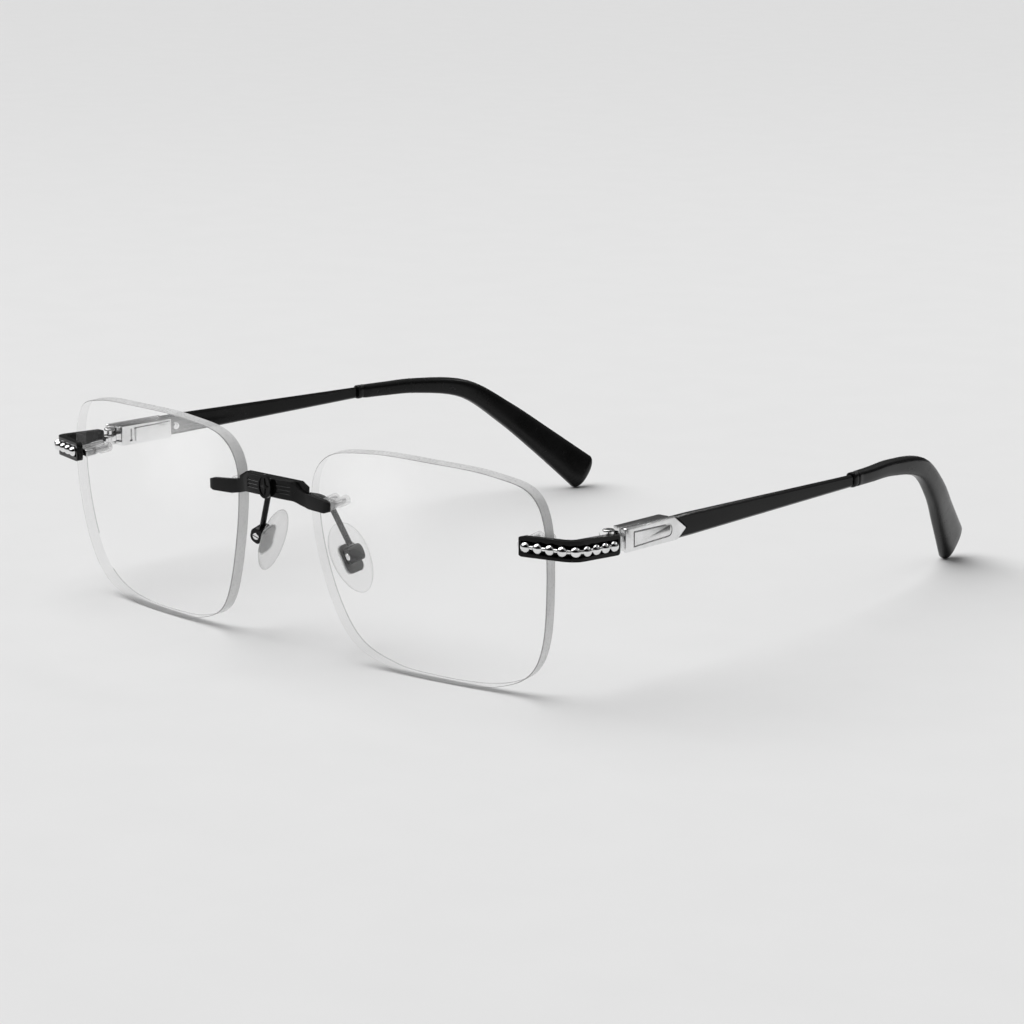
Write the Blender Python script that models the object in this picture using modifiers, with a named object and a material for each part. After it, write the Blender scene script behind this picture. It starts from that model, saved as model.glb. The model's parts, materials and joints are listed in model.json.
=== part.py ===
"""Rimless eyeglasses: drilled lenses, sprung hinges, rocking nose pads.

Run with: blender --background --python part.py
Lengths below are in millimetres and are turned into metres where a mesh is made.
Every piece is designed on the wearer's left (+X), in one of these local frames, and then mirrored:
  front frame    origin on the mirror plane, under the lenses; +Y runs back towards the ears, +Z is up
  lens frame     x towards the temple, y back along the lens axis, z up; origin at the front vertex
  endpiece frame the front frame with a small rise towards the bend, see ENDPIECE_RISE
  temple frame   origin on the hinge axis; y runs back along the temple arm
  pad frame      x away from the nose, y back across the pad, z up along the pad
"""
import math

import bmesh
import bpy
from mathutils import Euler, Matrix, Vector

MM = 0.001
OBJECT_NAME = "rimless_eyeglasses"

# The front-to-back middle of the whole object, which becomes y = 0.
CENTRE_Y = 75.4

# Lenses
LENS_WIDTH = 56.0
BRIDGE_GAP = 21.15
LENS_THICKNESS = 2.6
LENS_FRONT_RADIUS = 132.0
LENS_WRAP = math.radians(5.83)
LENS_LEAN = math.radians(4.91)
LENS_OUTLINE = [
    (27.6, 12.0), (24.7, 17.8), (16.7, 20.4), (3.1, 21.5), (-12.3, 21.4), (-23.6, 19.1), (-27.6, 14.1),
    (-27.2, 0.2), (-20.3, -16.9), (-11.2, -20.9), (-3.1, -21.7), (14.9, -21.0), (22.3, -17.7), (26.1, -10.7),
]
LENS_HOLE_RADIUS = 0.85

# Drill mounts: where each pair of pins goes through a lens, in the lens frame
PIN_SPACING = 2.6
PIN_RADIUS = 0.45
NASAL_PINS = (-24.7, 9.3)
TEMPORAL_PINS = (24.3, 8.2)
BUSHING_LENGTH = 3.2
BUSHING_RADIUS = 1.0
SPIGOT_RADIUS = 0.72
BUSHING_BORE = 0.58

# Bridge, in the front frame
BRIDGE_TOP = 34.75
BRIDGE_HALF_LENGTH = 16.9
REED_COUNT = 4
MEDALLION_HEIGHT = 4.7
MEDALLION_WIDTH = 3.6
MEDALLION_Z = 33.1

# Nose pads: the pad's centre, its outward normal and its upward axis, in the front frame
PAD_CENTRE = Vector((11.1, 9.4, 18.5))
PAD_NORMAL = Vector((0.902, -0.215, 0.374))
PAD_UP = Vector((-0.405, -0.126, 0.906))
PAD_SIZE = (1.35, 4.3, 7.25)
PAD_FACE = 1.05
PAD_PIVOT = Vector((2.7, -0.7, 0.4))
PAD_ARM_RADIUS = 0.6

# Endpieces, in plan
ENDPIECE_INNER = Vector((61.75, 3.0))
ENDPIECE_CORNER = Vector((72.0, 6.1))
ENDPIECE_REAR = Vector((72.2, 17.8))
ENDPIECE_BEND_RADIUS = 2.6
ENDPIECE_HALF_HEIGHT = 1.95
ENDPIECE_Z = 30.1
ENDPIECE_RISE = (0.0, -0.05)
BEAD_COUNT = 9
BEAD_RADIUS = 1.03

# Hinges: the axis is upright
HINGE = Vector((70.1, 17.9, 0.0))
HINGE_Z = 29.95
KNUCKLE_RADIUS = 1.5
KNUCKLE_SPLIT = (-1.9, -0.75, 0.6, 1.55)
SCREW_RADIUS = 0.5
HINGE_BORE = 0.56

# Temples, in the temple frame
TEMPLE_LEAN = math.radians(1.54)
ARM_X = 2.25
ARM_HALF_THICKNESS = (0.85, 0.62)
ARM_HALF_HEIGHT = (2.2, 1.22)
ARM_TAPER_START = 21.0
TEMPLE_DROP = 0.0125
ARM_START = 2.3
ARM_END = 73.8
FERRULE_START = 1.35
FERRULE_HALF_HEIGHT = 2.3
FERRULE_SHOULDER = 16.0
FERRULE_TIP = 19.5
HOUSING_START = 2.6
HOUSING_END = 16.2
SPRING_RADIUS = 0.62
SPRING_WIRE = 0.13
SPRING_TURNS = 9
RIVET = (19.6, -0.3)
TIP_PATH = [
    (2.1, 73.8, 29.13), (1.35, 81.5, 28.95), (0.0, 90.5, 28.63), (-2.2, 104.5, 26.16),
    (-5.2, 114.8, 19.43), (-9.0, 123.9, 11.7), (-12.8, 133.1, 3.55),
]

BLACK = ("black_lacquer", (0.012, 0.012, 0.013), 0.18, 0.0)
TIP_BLACK = ("black_tip", (0.015, 0.015, 0.016), 0.22, 0.0)
SILVER = ("polished_silver", (0.82, 0.82, 0.83), 0.16, 1.0)
SATIN = ("satin_grey", (0.42, 0.42, 0.43), 0.38, 1.0)
CLEAR = ("clear_lens", (0.96, 0.97, 0.97), 0.03, 0.0)
CLEAR_SOFT = ("clear_silicone", (0.9, 0.9, 0.9), 0.12, 0.0)
STEEL = ("spring_steel", (0.55, 0.55, 0.56), 0.3, 1.0)


# ---------------------------------------------------------------- scene and objects

def empty_scene():
    for obj in list(bpy.data.objects):
        bpy.data.objects.remove(obj, do_unlink=True)


def new_collection(name):
    collection = bpy.data.collections.new(name)
    bpy.context.scene.collection.children.link(collection)
    return collection


def material(finish):
    name, colour, roughness, metallic = finish
    found = bpy.data.materials.get(name)
    if found:
        return found
    made = bpy.data.materials.new(name)
    made.use_nodes = True
    shader = made.node_tree.nodes["Principled BSDF"]
    shader.inputs["Base Color"].default_value = (*colour, 1.0)
    shader.inputs["Roughness"].default_value = roughness
    shader.inputs["Metallic"].default_value = metallic
    return made


def add_object(name, data):
    obj = bpy.data.objects.new(name, data)
    WORKSHOP.objects.link(obj)
    return obj


def object_from(name, mesh_builder):
    """A new object from a bmesh that mesh_builder fills in millimetres."""
    bm = bmesh.new()
    mesh_builder(bm)
    bmesh.ops.scale(bm, vec=(MM, MM, MM), verts=bm.verts)
    bmesh.ops.recalc_face_normals(bm, faces=bm.faces)
    mesh = bpy.data.meshes.new(name)
    bm.to_mesh(mesh)
    bm.free()
    return add_object(name, mesh)


def settle(obj):
    """Replace an object by the mesh that its modifiers, or its curve, evaluate to."""
    bpy.context.view_layer.update()
    evaluated = obj.evaluated_get(bpy.context.evaluated_depsgraph_get())
    mesh = bpy.data.meshes.new_from_object(evaluated)
    name = obj.name
    matrix = obj.matrix_world.copy()
    bpy.data.objects.remove(obj, do_unlink=True)
    bm = bmesh.new()
    bm.from_mesh(mesh)
    bmesh.ops.remove_doubles(bm, verts=bm.verts, dist=0.001 * MM)
    bmesh.ops.recalc_face_normals(bm, faces=bm.faces)
    bm.to_mesh(mesh)
    bm.free()
    made = add_object(name, mesh)
    made.matrix_world = matrix
    return made


def join_in(obj, other, operation):
    """Boolean obj with other, which is used up."""
    modifier = obj.modifiers.new("boolean", "BOOLEAN")
    modifier.operation = operation
    modifier.solver = "EXACT"
    modifier.object = other
    result = settle(obj)
    bpy.data.objects.remove(other, do_unlink=True)
    return result


def cut(obj, *cutters):
    for cutter in cutters:
        obj = join_in(obj, cutter, "DIFFERENCE")
    return obj


def fuse(obj, *others):
    for other in others:
        obj = join_in(obj, other, "UNION")
    return obj


def bevel(obj, width, segments=2, angle=35):
    modifier = obj.modifiers.new("bevel", "BEVEL")
    modifier.width = width * MM
    modifier.segments = segments
    modifier.limit_method = "ANGLE"
    modifier.angle_limit = math.radians(angle)
    return settle(obj)


def moved(obj, matrix):
    """Bake a matrix, in millimetres, into the mesh of obj."""
    metric = matrix.copy()
    metric.translation = matrix.translation * MM
    obj.data.transform(metric)
    return obj


# ---------------------------------------------------------------- shapes, in millimetres

def box(name, low, high):
    middle = (Vector(low) + Vector(high)) / 2
    size = Vector(high) - Vector(low)
    matrix = Matrix.Translation(middle) @ Matrix.Diagonal((*size, 1.0))
    return object_from(name, lambda bm: bmesh.ops.create_cube(bm, size=1.0, matrix=matrix))


def along(start, end):
    """A frame at the middle of a line, with z along it."""
    start, end = Vector(start), Vector(end)
    turn = (end - start).to_track_quat("Z", "Y").to_matrix().to_4x4()
    return Matrix.Translation((start + end) / 2) @ turn


def rod(name, start, end, radius, sides=12, end_radius=None):
    depth = (Vector(end) - Vector(start)).length
    tip = radius if end_radius is None else end_radius

    def fill(bm):
        bmesh.ops.create_cone(bm, cap_ends=True, segments=sides, radius1=radius, radius2=tip,
                              depth=depth, matrix=along(start, end))
    return object_from(name, fill)


PLAN = Matrix.Identity(4)
SIDE = Matrix(((0, 0, 1, 0), (1, 0, 0, 0), (0, 1, 0, 0), (0, 0, 0, 1)))
FRONT = Matrix(((1, 0, 0, 0), (0, 0, -1, 0), (0, 1, 0, 0), (0, 0, 0, 1)))


def prism(name, outline, low, high, view=PLAN):
    """A flat outline drawn in PLAN (x, y), SIDE (y, z) or FRONT (x, z), thick from low to high."""
    if view is FRONT:
        low, high = -high, -low
    curve = bpy.data.curves.new(name, "CURVE")
    curve.dimensions = "2D"
    curve.fill_mode = "BOTH"
    curve.extrude = (high - low) / 2 * MM
    spline = curve.splines.new("POLY")
    spline.points.add(len(outline) - 1)
    for point, (a, b) in zip(spline.points, outline):
        point.co = (a * MM, b * MM, 0.0, 1.0)
    spline.use_cyclic_u = True
    obj = settle(add_object(name, curve))
    return moved(obj, view @ Matrix.Translation((0, 0, (low + high) / 2)))


def tube(name, points, radius, resolution=2, radii=None):
    curve = bpy.data.curves.new(name, "CURVE")
    curve.dimensions = "3D"
    curve.bevel_depth = radius * MM
    curve.bevel_resolution = resolution
    curve.use_fill_caps = True
    spline = curve.splines.new("POLY")
    spline.points.add(len(points) - 1)
    for index, (point, place) in enumerate(zip(spline.points, points)):
        point.co = (*(Vector(place) * MM), 1.0)
        point.radius = radii[index] if radii else 1.0
    return settle(add_object(name, curve))


def loft(name, rings):
    """A closed skin through rings of equally many points, with flat ends."""
    def fill(bm):
        loops = [[bm.verts.new(point) for point in ring] for ring in rings]
        count = len(rings[0])
        for near, far in zip(loops, loops[1:]):
            for i in range(count):
                bm.faces.new((near[i], near[(i + 1) % count], far[(i + 1) % count], far[i]))
        bm.faces.new(loops[0][::-1])
        bm.faces.new(loops[-1])
    return object_from(name, fill)


def smooth_curve(anchors, per_span, closed=False):
    """Points on a centripetal Hermite curve through the anchors."""
    points = [Vector(a) for a in anchors]
    count = len(points)
    if closed:
        steps = [math.sqrt((points[(i + 1) % count] - points[i]).length) for i in range(count)]
    else:
        steps = [math.sqrt((b - a).length) for a, b in zip(points, points[1:])]

    def slope(i):
        if closed or 0 < i < count - 1:
            before, after = steps[(i - 1) % len(steps)], steps[i % len(steps)]
            back = (points[i] - points[(i - 1) % count]) / before
            ahead = (points[(i + 1) % count] - points[i]) / after
            return (back * after + ahead * before) / (before + after)
        near = min(i, count - 2)
        return (points[near + 1] - points[near]) / steps[near]

    slopes = [slope(i) for i in range(count)]
    result = []
    for i, step in enumerate(steps):
        j = (i + 1) % count
        for k in range(per_span):
            t = k / per_span
            result.append(points[i] * (2 * t ** 3 - 3 * t ** 2 + 1) + slopes[i] * step * (t ** 3 - 2 * t ** 2 + t)
                          + points[j] * (3 * t ** 2 - 2 * t ** 3) + slopes[j] * step * (t ** 3 - t ** 2))
    if not closed:
        result.append(points[-1])
    return result


def rounded(corners, steps=4):
    """An outline from (x, y, radius) corners, each turned into an arc where its radius isn't 0."""
    outline = []
    count = len(corners)
    for i, (x, y, radius) in enumerate(corners):
        here = Vector((x, y))
        if radius == 0:
            outline.append(here)
            continue
        before = (Vector(corners[i - 1][:2]) - here).normalized()
        after = (Vector(corners[(i + 1) % count][:2]) - here).normalized()
        half = before.angle(after) / 2
        centre = here + (before + after).normalized() * radius / math.sin(half)
        first = here + before * radius / math.tan(half) - centre
        last = here + after * radius / math.tan(half) - centre
        turn = first.angle_signed(last)
        for k in range(steps + 1):
            outline.append(centre + Matrix.Rotation(-turn * k / steps, 2) @ first)
    return outline


def ellipse(centre, half_width, half_height, sides):
    angles = [2 * math.pi * k / sides for k in range(sides)]
    return [(centre[0] + half_width * math.cos(a), centre[1] + half_height * math.sin(a)) for a in angles]


# ---------------------------------------------------------------- placing finished pieces

def lens_outline(per_span):
    return smooth_curve(LENS_OUTLINE, per_span, closed=True)


def lens_sag(u, v):
    return (u * u + v * v) / (2 * LENS_FRONT_RADIUS)


LENS_TURN = Euler((LENS_LEAN, 0, LENS_WRAP), "ZYX").to_matrix().to_4x4()


def lens_place():
    """Lens frame to front frame, so high that the lens's lowest point is at z = 0."""
    edge = [LENS_TURN @ Vector((u, lens_sag(u, v), v)) for u, v in lens_outline(8)]
    lowest = min(point.z for point in edge)
    return Matrix.Translation(((LENS_WIDTH + BRIDGE_GAP) / 2, 0, -lowest)) @ LENS_TURN


def pad_place():
    side = PAD_UP.cross(PAD_NORMAL)
    turn = Matrix((PAD_NORMAL, side, PAD_UP)).transposed()
    for i in range(3):
        turn.col[i] = turn.col[i].normalized()
    return Matrix.Translation(PAD_CENTRE + turn @ PAD_PIVOT) @ turn.to_4x4()


def temple_place():
    return Matrix.Translation(HINGE) @ Matrix.Rotation(TEMPLE_LEAN, 4, "Z")


def hinge_place():
    return Matrix.Translation(HINGE)


MIRROR = Matrix.Diagonal((-1, 1, 1, 1))


def place(obj, matrix):
    metric = matrix.copy()
    metric.translation = matrix.translation * MM
    obj.parent = ROOT
    obj.matrix_parent_inverse = Matrix.Identity(4)
    obj.matrix_basis = metric


def hand_over(obj, name, finish, matrix):
    """Name, colour, shade and place a finished piece, and move it to the object's collection."""
    obj.name = name
    obj.data.name = name
    obj.data.materials.clear()
    obj.data.materials.append(material(finish))
    obj.data.shade_smooth()
    obj.data.set_sharp_from_angle(angle=math.radians(35))
    WORKSHOP.objects.unlink(obj)
    PIECES.objects.link(obj)
    place(obj, matrix)


def single(obj, name, finish, matrix=PLAN):
    hand_over(obj, name, finish, matrix)


def pair(obj, name, finish, matrix=PLAN, ends=("_left", "_right")):
    """Place a piece on the wearer's left and its mirror image on the right."""
    twin = add_object(name, obj.data.copy())
    twin.data.transform(MIRROR)
    twin.data.flip_normals()
    hand_over(obj, name + ends[0], finish, matrix)
    hand_over(twin, name + ends[1], finish, MIRROR @ matrix @ MIRROR)


# ---------------------------------------------------------------- lenses and drill mounts

def pin_centres(middle):
    u, v = middle
    return [(u - PIN_SPACING / 2, v), (u + PIN_SPACING / 2, v)]


def lens():
    """A grid bent to the front sphere, thickened and trimmed to the outline."""
    step = 5.6
    columns = int(LENS_WIDTH / step) + 1
    rows = int(46.0 / step) + 1

    def sheet(bm):
        bmesh.ops.create_grid(bm, x_segments=columns, y_segments=rows, size=0.5)
        for vert in bm.verts:
            u, v = vert.co.x * columns * step, vert.co.y * rows * step
            vert.co = (u, lens_sag(u, v), v)
        top = bmesh.ops.extrude_face_region(bm, geom=bm.faces[:])["geom"]
        moving = [item for item in top if isinstance(item, bmesh.types.BMVert)]
        bmesh.ops.translate(bm, vec=(0, LENS_THICKNESS, 0), verts=moving)
        bmesh.ops.triangulate(bm, faces=bm.faces[:])
    glass = object_from("lens", sheet)
    trim = prism("trim", [tuple(p) for p in lens_outline(3)], -5, 15, FRONT)
    glass = join_in(glass, trim, "INTERSECT")
    holes = pin_centres(NASAL_PINS) + pin_centres(TEMPORAL_PINS)
    cutters = [rod("hole", (u, -3, v), (u, 12, v), LENS_HOLE_RADIUS, 12) for u, v in holes]
    return cut(glass, *cutters)


def pin_plate(middle):
    """Two pins on a small back plate that lies between the lens and the arm in front of it."""
    slope = (lens_sag(middle[0] + 1, middle[1]) - lens_sag(middle[0] - 1, middle[1])) / 2
    plate = prism("plate", rounded([(-2.1, -0.7, 0.5), (2.1, -0.7, 0.5), (2.1, 0.7, 0.5), (-2.1, 0.7, 0.5)], 2),
                  -0.3, -0.08, FRONT)
    tilt = Matrix.Rotation(math.atan(slope), 4, "Z")
    plate = moved(plate, Matrix.Translation((middle[0], lens_sag(*middle), middle[1])) @ tilt)
    for u, v in pin_centres(middle):
        front = lens_sag(u, v)
        back = front + LENS_THICKNESS + BUSHING_LENGTH - 0.35
        plate = fuse(plate, rod("pin", (u, front - 0.2, v), (u, back, v), PIN_RADIUS, 10))
    return plate


def bushing(middle):
    """A double sleeve behind the lens, with a spigot in each lens hole and a bore for each pin."""
    u, v = middle
    reach = PIN_SPACING / 2 + BUSHING_RADIUS
    start = max(lens_sag(u - reach, v), lens_sag(u + reach, v)) + LENS_THICKNESS + 0.1
    end = lens_sag(u, v) + LENS_THICKNESS + BUSHING_LENGTH
    web = box("web", (u - 0.8, start + 0.15, v - 0.45), (u + 0.8, end - 0.9, v + 0.45))
    for x, z in pin_centres(middle):
        web = fuse(web, rod("sleeve", (x, start, z), (x, end, z), BUSHING_RADIUS, 12))
        web = fuse(web, rod("spigot", (x, start - 1.6, z), (x, start + 0.3, z), SPIGOT_RADIUS, 12))
    for x, z in pin_centres(middle):
        web = cut(web, rod("bore", (x, start - 3, z), (x, end + 3, z), BUSHING_BORE, 12))
    return web


# ---------------------------------------------------------------- bridge

def both_sides(half):
    """A closed outline from its half at +x, which starts and ends on the mirror line."""
    return half + [(-x, y) for x, y in reversed(half) if x > 0]


def crossed(name, plan, front):
    """The solid that has one outline from above and the other from the front."""
    return join_in(prism(name, plan, 29.0, 36.0, PLAN), prism("profile", front, -4.0, 3.0, FRONT), "INTERSECT")


def bridge():
    """A bar, arched in front view, with a deep reeded centre and an arm over each lens."""
    plan = [
        (0.0, -2.3), (3.2, -2.2), (6.3, -1.85), (7.4, -1.6), (9.5, -1.55), (15.4, -2.3), (16.5, -2.2),
        (BRIDGE_HALF_LENGTH, -1.8), (16.7, -1.44), (16.2, -1.36), (11.0, -0.95), (9.8, -0.75), (9.2, -0.4), (0.0, -0.4),
    ]
    front = [
        (0.0, BRIDGE_TOP), (6.3, BRIDGE_TOP - 0.05), (7.0, 34.3), (8.0, 33.45), (9.6, 32.95), (15.6, 32.5),
        (16.5, 32.2), (17.1, 31.25), (16.5, 30.3), (15.6, 30.0), (10.8, 30.0), (8.6, 30.4), (6.6, 30.95), (0.0, 31.1),
    ]
    back_plan = [(0.0, -0.9), (9.3, -0.9), (9.8, -0.4), (9.1, 0.4), (0.0, 0.4)]
    back = [(0.0, BRIDGE_TOP), (7.4, BRIDGE_TOP), (9.9, 33.3), (10.1, 32.4), (9.4, 31.4), (6.6, 31.2), (0.0, 31.3)]
    bar = crossed("bridge", both_sides(plan), both_sides(front))
    bar = fuse(bar, crossed("shoulder", both_sides(back_plan), both_sides(back)))
    bar = bevel(bar, 0.22, 2, 40)
    pitch = 0.72
    for row in range(REED_COUNT - 1):
        z = 33.0 + (row - (REED_COUNT - 2) / 2) * pitch
        for side in (-1, 1):
            start, end = Vector((side * 2.4, -2.4, z)), Vector((side * 6.0, -2.03, z))
            bar = cut(bar, rod("groove", start, end, 0.26, 6))
    well = prism("well", ellipse((0, MEDALLION_Z), 1.45, 1.75, 20), -4.0, -1.6, FRONT)
    return cut(bar, well)


def medallion():
    """An oval boss with a raised rim, a post at its back and a plain four-pointed ornament."""
    boss = prism("medallion", ellipse((0, MEDALLION_Z), MEDALLION_WIDTH / 2, MEDALLION_HEIGHT / 2, 20),
                 -3.15, -2.45, FRONT)
    boss = bevel(boss, 0.18, 1, 60)
    dish = prism("dish", ellipse((0, MEDALLION_Z), MEDALLION_WIDTH / 2 - 0.4, MEDALLION_HEIGHT / 2 - 0.4, 20),
                 -3.4, -2.93, FRONT)
    boss = cut(boss, dish)
    star = []
    for k in range(8):
        reach = 1.0 if k % 2 == 0 else 0.3
        angle = math.pi * k / 4
        star.append((1.15 * reach * math.cos(angle), MEDALLION_Z + 1.7 * reach * math.sin(angle)))
    boss = fuse(boss, prism("star", star, -3.09, -2.8, FRONT))
    return fuse(boss, prism("post", ellipse((0, MEDALLION_Z), 1.3, 1.6, 16), -2.6, -1.7, FRONT))


# ---------------------------------------------------------------- nose pads

def pad_arm():
    """A rod from the back of the bridge, bowed back and down to the pad's box."""
    lower = pad_place() @ Vector((-0.1, 0.0, 2.05))
    route = [(6.6, 0.75, 31.9), (6.9, 2.4, 31.5), (7.5, 4.6, 30.9), (8.2, 5.9, 30.0), (8.9, 6.4, 28.8)]
    points = smooth_curve(route, 3) + [lower]
    return tube("pad_arm", points, PAD_ARM_RADIUS, 2)


def pad_box():
    """A rounded holder, slotted towards the pad for the insert's tongue."""
    outline = rounded([(-1.15, -1.6, 0.7), (1.35, -1.45, 1.3), (1.35, 1.7, 1.3), (-1.15, 1.85, 0.7)], 3)
    holder = prism("pad_box", outline, -1.55, 1.55, Matrix(((1, 0, 0, 0), (0, 0, 1, 0), (0, 1, 0, 0), (0, 0, 0, 1))))
    holder = bevel(holder, 0.35, 1, 50)
    slot = box("slot", (-2, -0.6, -1.25), (1.05, 0.6, 1.3))
    bore = rod("bore", (0, -3, 0), (0, 3, 0), 0.56, 12)
    sink = rod("sink", (0, -3, 0), (0, -1.25, 0), 0.85, 12)
    return cut(holder, slot, bore, sink)


def pad_insert():
    """A stiff plate moulded into the pad, with a drilled tongue for the box's screw."""
    back = -PAD_PIVOT.x + 0.72
    centre = (0.0, -PAD_PIVOT.z)
    corners = [(-2.0, -3.0, 1.2), (2.0, -3.0, 1.2), (2.0, 3.0, 1.2), (-2.0, 3.0, 1.2)]
    outline = [(a + centre[0], b + centre[1]) for a, b in rounded(corners, 3)]
    plate = prism("plate", outline, back, back + 0.55, SIDE)
    tongue = box("tongue", (back + 0.3, -0.45, -0.95), (0.2, 0.45, 0.95))
    eye = rod("eye", (0, -0.45, 0), (0, 0.45, 0), 0.95, 12)
    bore = rod("bore", (0, -3, 0), (0, 3, 0), 0.56, 12)
    return cut(fuse(plate, tongue, eye), bore)


def pad_screw():
    shank = rod("shank", (0, -1.2, 0), (0, 1.5, 0), SCREW_RADIUS, 12)
    head = rod("head", (0, -1.7, 0), (0, -1.28, 0), 0.75, 12, 0.75)
    neck = rod("neck", (0, -1.4, 0), (0, -1.0, 0), SCREW_RADIUS, 12)
    slot = box("slot", (-1, -1.8, -0.13), (1, -1.55, 0.13))
    return cut(fuse(shank, neck, head), slot)


def nose_pad():
    """A flattened oval pad with a level bearing face and a pocket for its insert."""
    half = Vector(PAD_SIZE)
    centre = -PAD_PIVOT

    def fill(bm):
        bmesh.ops.create_uvsphere(bm, u_segments=16, v_segments=8, radius=1.0)
        bmesh.ops.rotate(bm, matrix=Matrix.Rotation(math.pi / 2, 3, "Y"), verts=bm.verts)
        for vert in bm.verts:
            widen = 1.0 + 0.08 * vert.co.z
            vert.co = (vert.co.x * half.x, vert.co.y * half.y * widen, vert.co.z * half.z)
        bmesh.ops.translate(bm, vec=centre, verts=bm.verts)
    pad = object_from("nose_pad", fill)
    face = box("face", (centre.x - 4, centre.y - 9, centre.z - 9), (centre.x - PAD_FACE, centre.y + 9, centre.z + 9))
    pocket_corners = [(-2.15, -3.15, 1.3), (2.15, -3.15, 1.3), (2.15, 3.15, 1.3), (-2.15, 3.15, 1.3)]
    pocket_outline = [(a, b + centre.z) for a, b in rounded(pocket_corners, 3)]
    pocket = prism("pocket", pocket_outline, centre.x + 0.6, centre.x + 4, SIDE)
    return cut(pad, face, pocket)


# ---------------------------------------------------------------- endpieces

def endpiece_path(offset=0.0, steps=5):
    """The plan centreline, moved outwards by offset: two straight legs and the bend between them."""
    first = (ENDPIECE_INNER - ENDPIECE_CORNER).normalized()
    second = (ENDPIECE_REAR - ENDPIECE_CORNER).normalized()
    half = first.angle(second) / 2
    centre = ENDPIECE_CORNER + (first + second).normalized() * ENDPIECE_BEND_RADIUS / math.sin(half)
    reach = ENDPIECE_BEND_RADIUS / math.tan(half)
    start = ENDPIECE_CORNER + first * reach - centre
    sweep = start.angle_signed(ENDPIECE_CORNER + second * reach - centre)
    out_first = Vector((-first.y, first.x))
    out_second = Vector((second.y, -second.x))
    points = [ENDPIECE_INNER + out_first * offset]
    scale = (ENDPIECE_BEND_RADIUS + offset) / ENDPIECE_BEND_RADIUS
    for k in range(steps + 1):
        points.append(centre + Matrix.Rotation(-sweep * k / steps, 2) @ (start * scale))
    points.append(ENDPIECE_REAR + out_second * offset)
    return points


def path_length(points):
    return sum((b - a).length for a, b in zip(points, points[1:]))


def path_point(points, distance):
    for a, b in zip(points, points[1:]):
        length = (b - a).length
        if distance <= length:
            return a + (b - a) * distance / length
        distance -= length
    return points[-1]


def part_of_path(points, start, end):
    """The stretch of a path between two distances along it."""
    walked = 0.0
    kept = [path_point(points, start)]
    for a, b in zip(points, points[1:]):
        walked += (b - a).length
        if start < walked < end:
            kept.append(b)
    kept.append(path_point(points, end))
    return kept


def endpiece_z(x, y):
    return ENDPIECE_Z + ENDPIECE_RISE[0] * (x - ENDPIECE_CORNER.x) + ENDPIECE_RISE[1] * (y - ENDPIECE_CORNER.y)


def raise_endpiece(obj):
    """Shear a level piece so that it follows the endpiece's rise."""
    shear = Matrix.Identity(4)
    shear[2][0], shear[2][1] = ENDPIECE_RISE
    shear[2][3] = endpiece_z(0, 0)
    return moved(obj, shear)


def endpiece():
    """A bar bent round the lens's corner, thinner over the lens, with a channel for the beads."""
    outer = endpiece_path(0.95)
    inner = endpiece_path(-0.95)
    inner[0] = endpiece_path(-0.45)[0]
    inner[1] = endpiece_path(-0.75)[1]
    bar = prism("endpiece", outer + inner[::-1], -ENDPIECE_HALF_HEIGHT, ENDPIECE_HALF_HEIGHT)
    bar = bevel(bar, 0.42, 2, 40)
    far = part_of_path(endpiece_path(2.0), 0.5, path_length(endpiece_path(2.0)) - 0.55)
    near = part_of_path(endpiece_path(0.0), 0.5, path_length(endpiece_path(0.0)) - 0.55)
    channel = prism("channel", far + near[::-1], -1.12, 1.12)
    relief = rod("relief", (HINGE.x, HINGE.y, -9), (HINGE.x, HINGE.y, 9), KNUCKLE_RADIUS + 0.15, 24)
    return raise_endpiece(cut(bar, channel, relief))


def bead_strip():
    """Beads on a common strand, lying in the endpiece's channel."""
    path = endpiece_path(1.07, steps=8)
    start, end = 1.56, path_length(path) - 2.1
    pitch = (end - start) / (BEAD_COUNT - 1)
    rings = (-0.92, -0.62, -0.22, 0.22, 0.62, 0.92)
    points, radii = [], []
    for bead in range(BEAD_COUNT):
        for ring in rings:
            distance = start + pitch * bead + ring * BEAD_RADIUS
            place_2d = path_point(path, distance)
            points.append((place_2d.x, place_2d.y, 0))
            radii.append(math.sqrt(1 - ring ** 2))
    return raise_endpiece(tube("bead_strip", points, BEAD_RADIUS, 1, radii))


# ---------------------------------------------------------------- hinges, from the hinge axis

def hinge_leaf():
    """The front half of the hinge: a block inside the endpiece with a knuckle above and one below."""
    low, mid_low, mid_high, high = KNUCKLE_SPLIT
    leaf = prism("hinge_leaf", rounded([(-1.35, -5.4, 0.5), (0.82, -5.4, 0.2), (0.82, -1.2, 0), (-1.35, -1.2, 0)], 3),
                 low, high)
    leaf = fuse(leaf, box("plate", (0.3, -8.8, low + 0.25), (0.82, -5.0, high - 0.25)))
    leaf = fuse(leaf, rod("knuckle", (0, 0, low), (0, 0, high), KNUCKLE_RADIUS, 20))
    clear = rod("gap", (0, 0, mid_low), (0, 0, mid_high), KNUCKLE_RADIUS + 0.25, 20)
    clear = fuse(clear, box("gap_back", (-3, 0, mid_low), (3, 3, mid_high)))
    return cut(leaf, clear, rod("bore", (0, 0, -5), (0, 0, 5), HINGE_BORE, 16))


def hinge_screw():
    low, high = KNUCKLE_SPLIT[0], KNUCKLE_SPLIT[3]
    screw = rod("shank", (0, 0, low - 0.1), (0, 0, high + 0.2), SCREW_RADIUS, 16)
    screw = fuse(screw, rod("head", (0, 0, high + 0.06), (0, 0, high + 0.48), 1.2, 16, 1.0))
    return cut(screw, box("slot", (-2, -0.15, high + 0.25), (2, 0.15, high + 1)))


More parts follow.
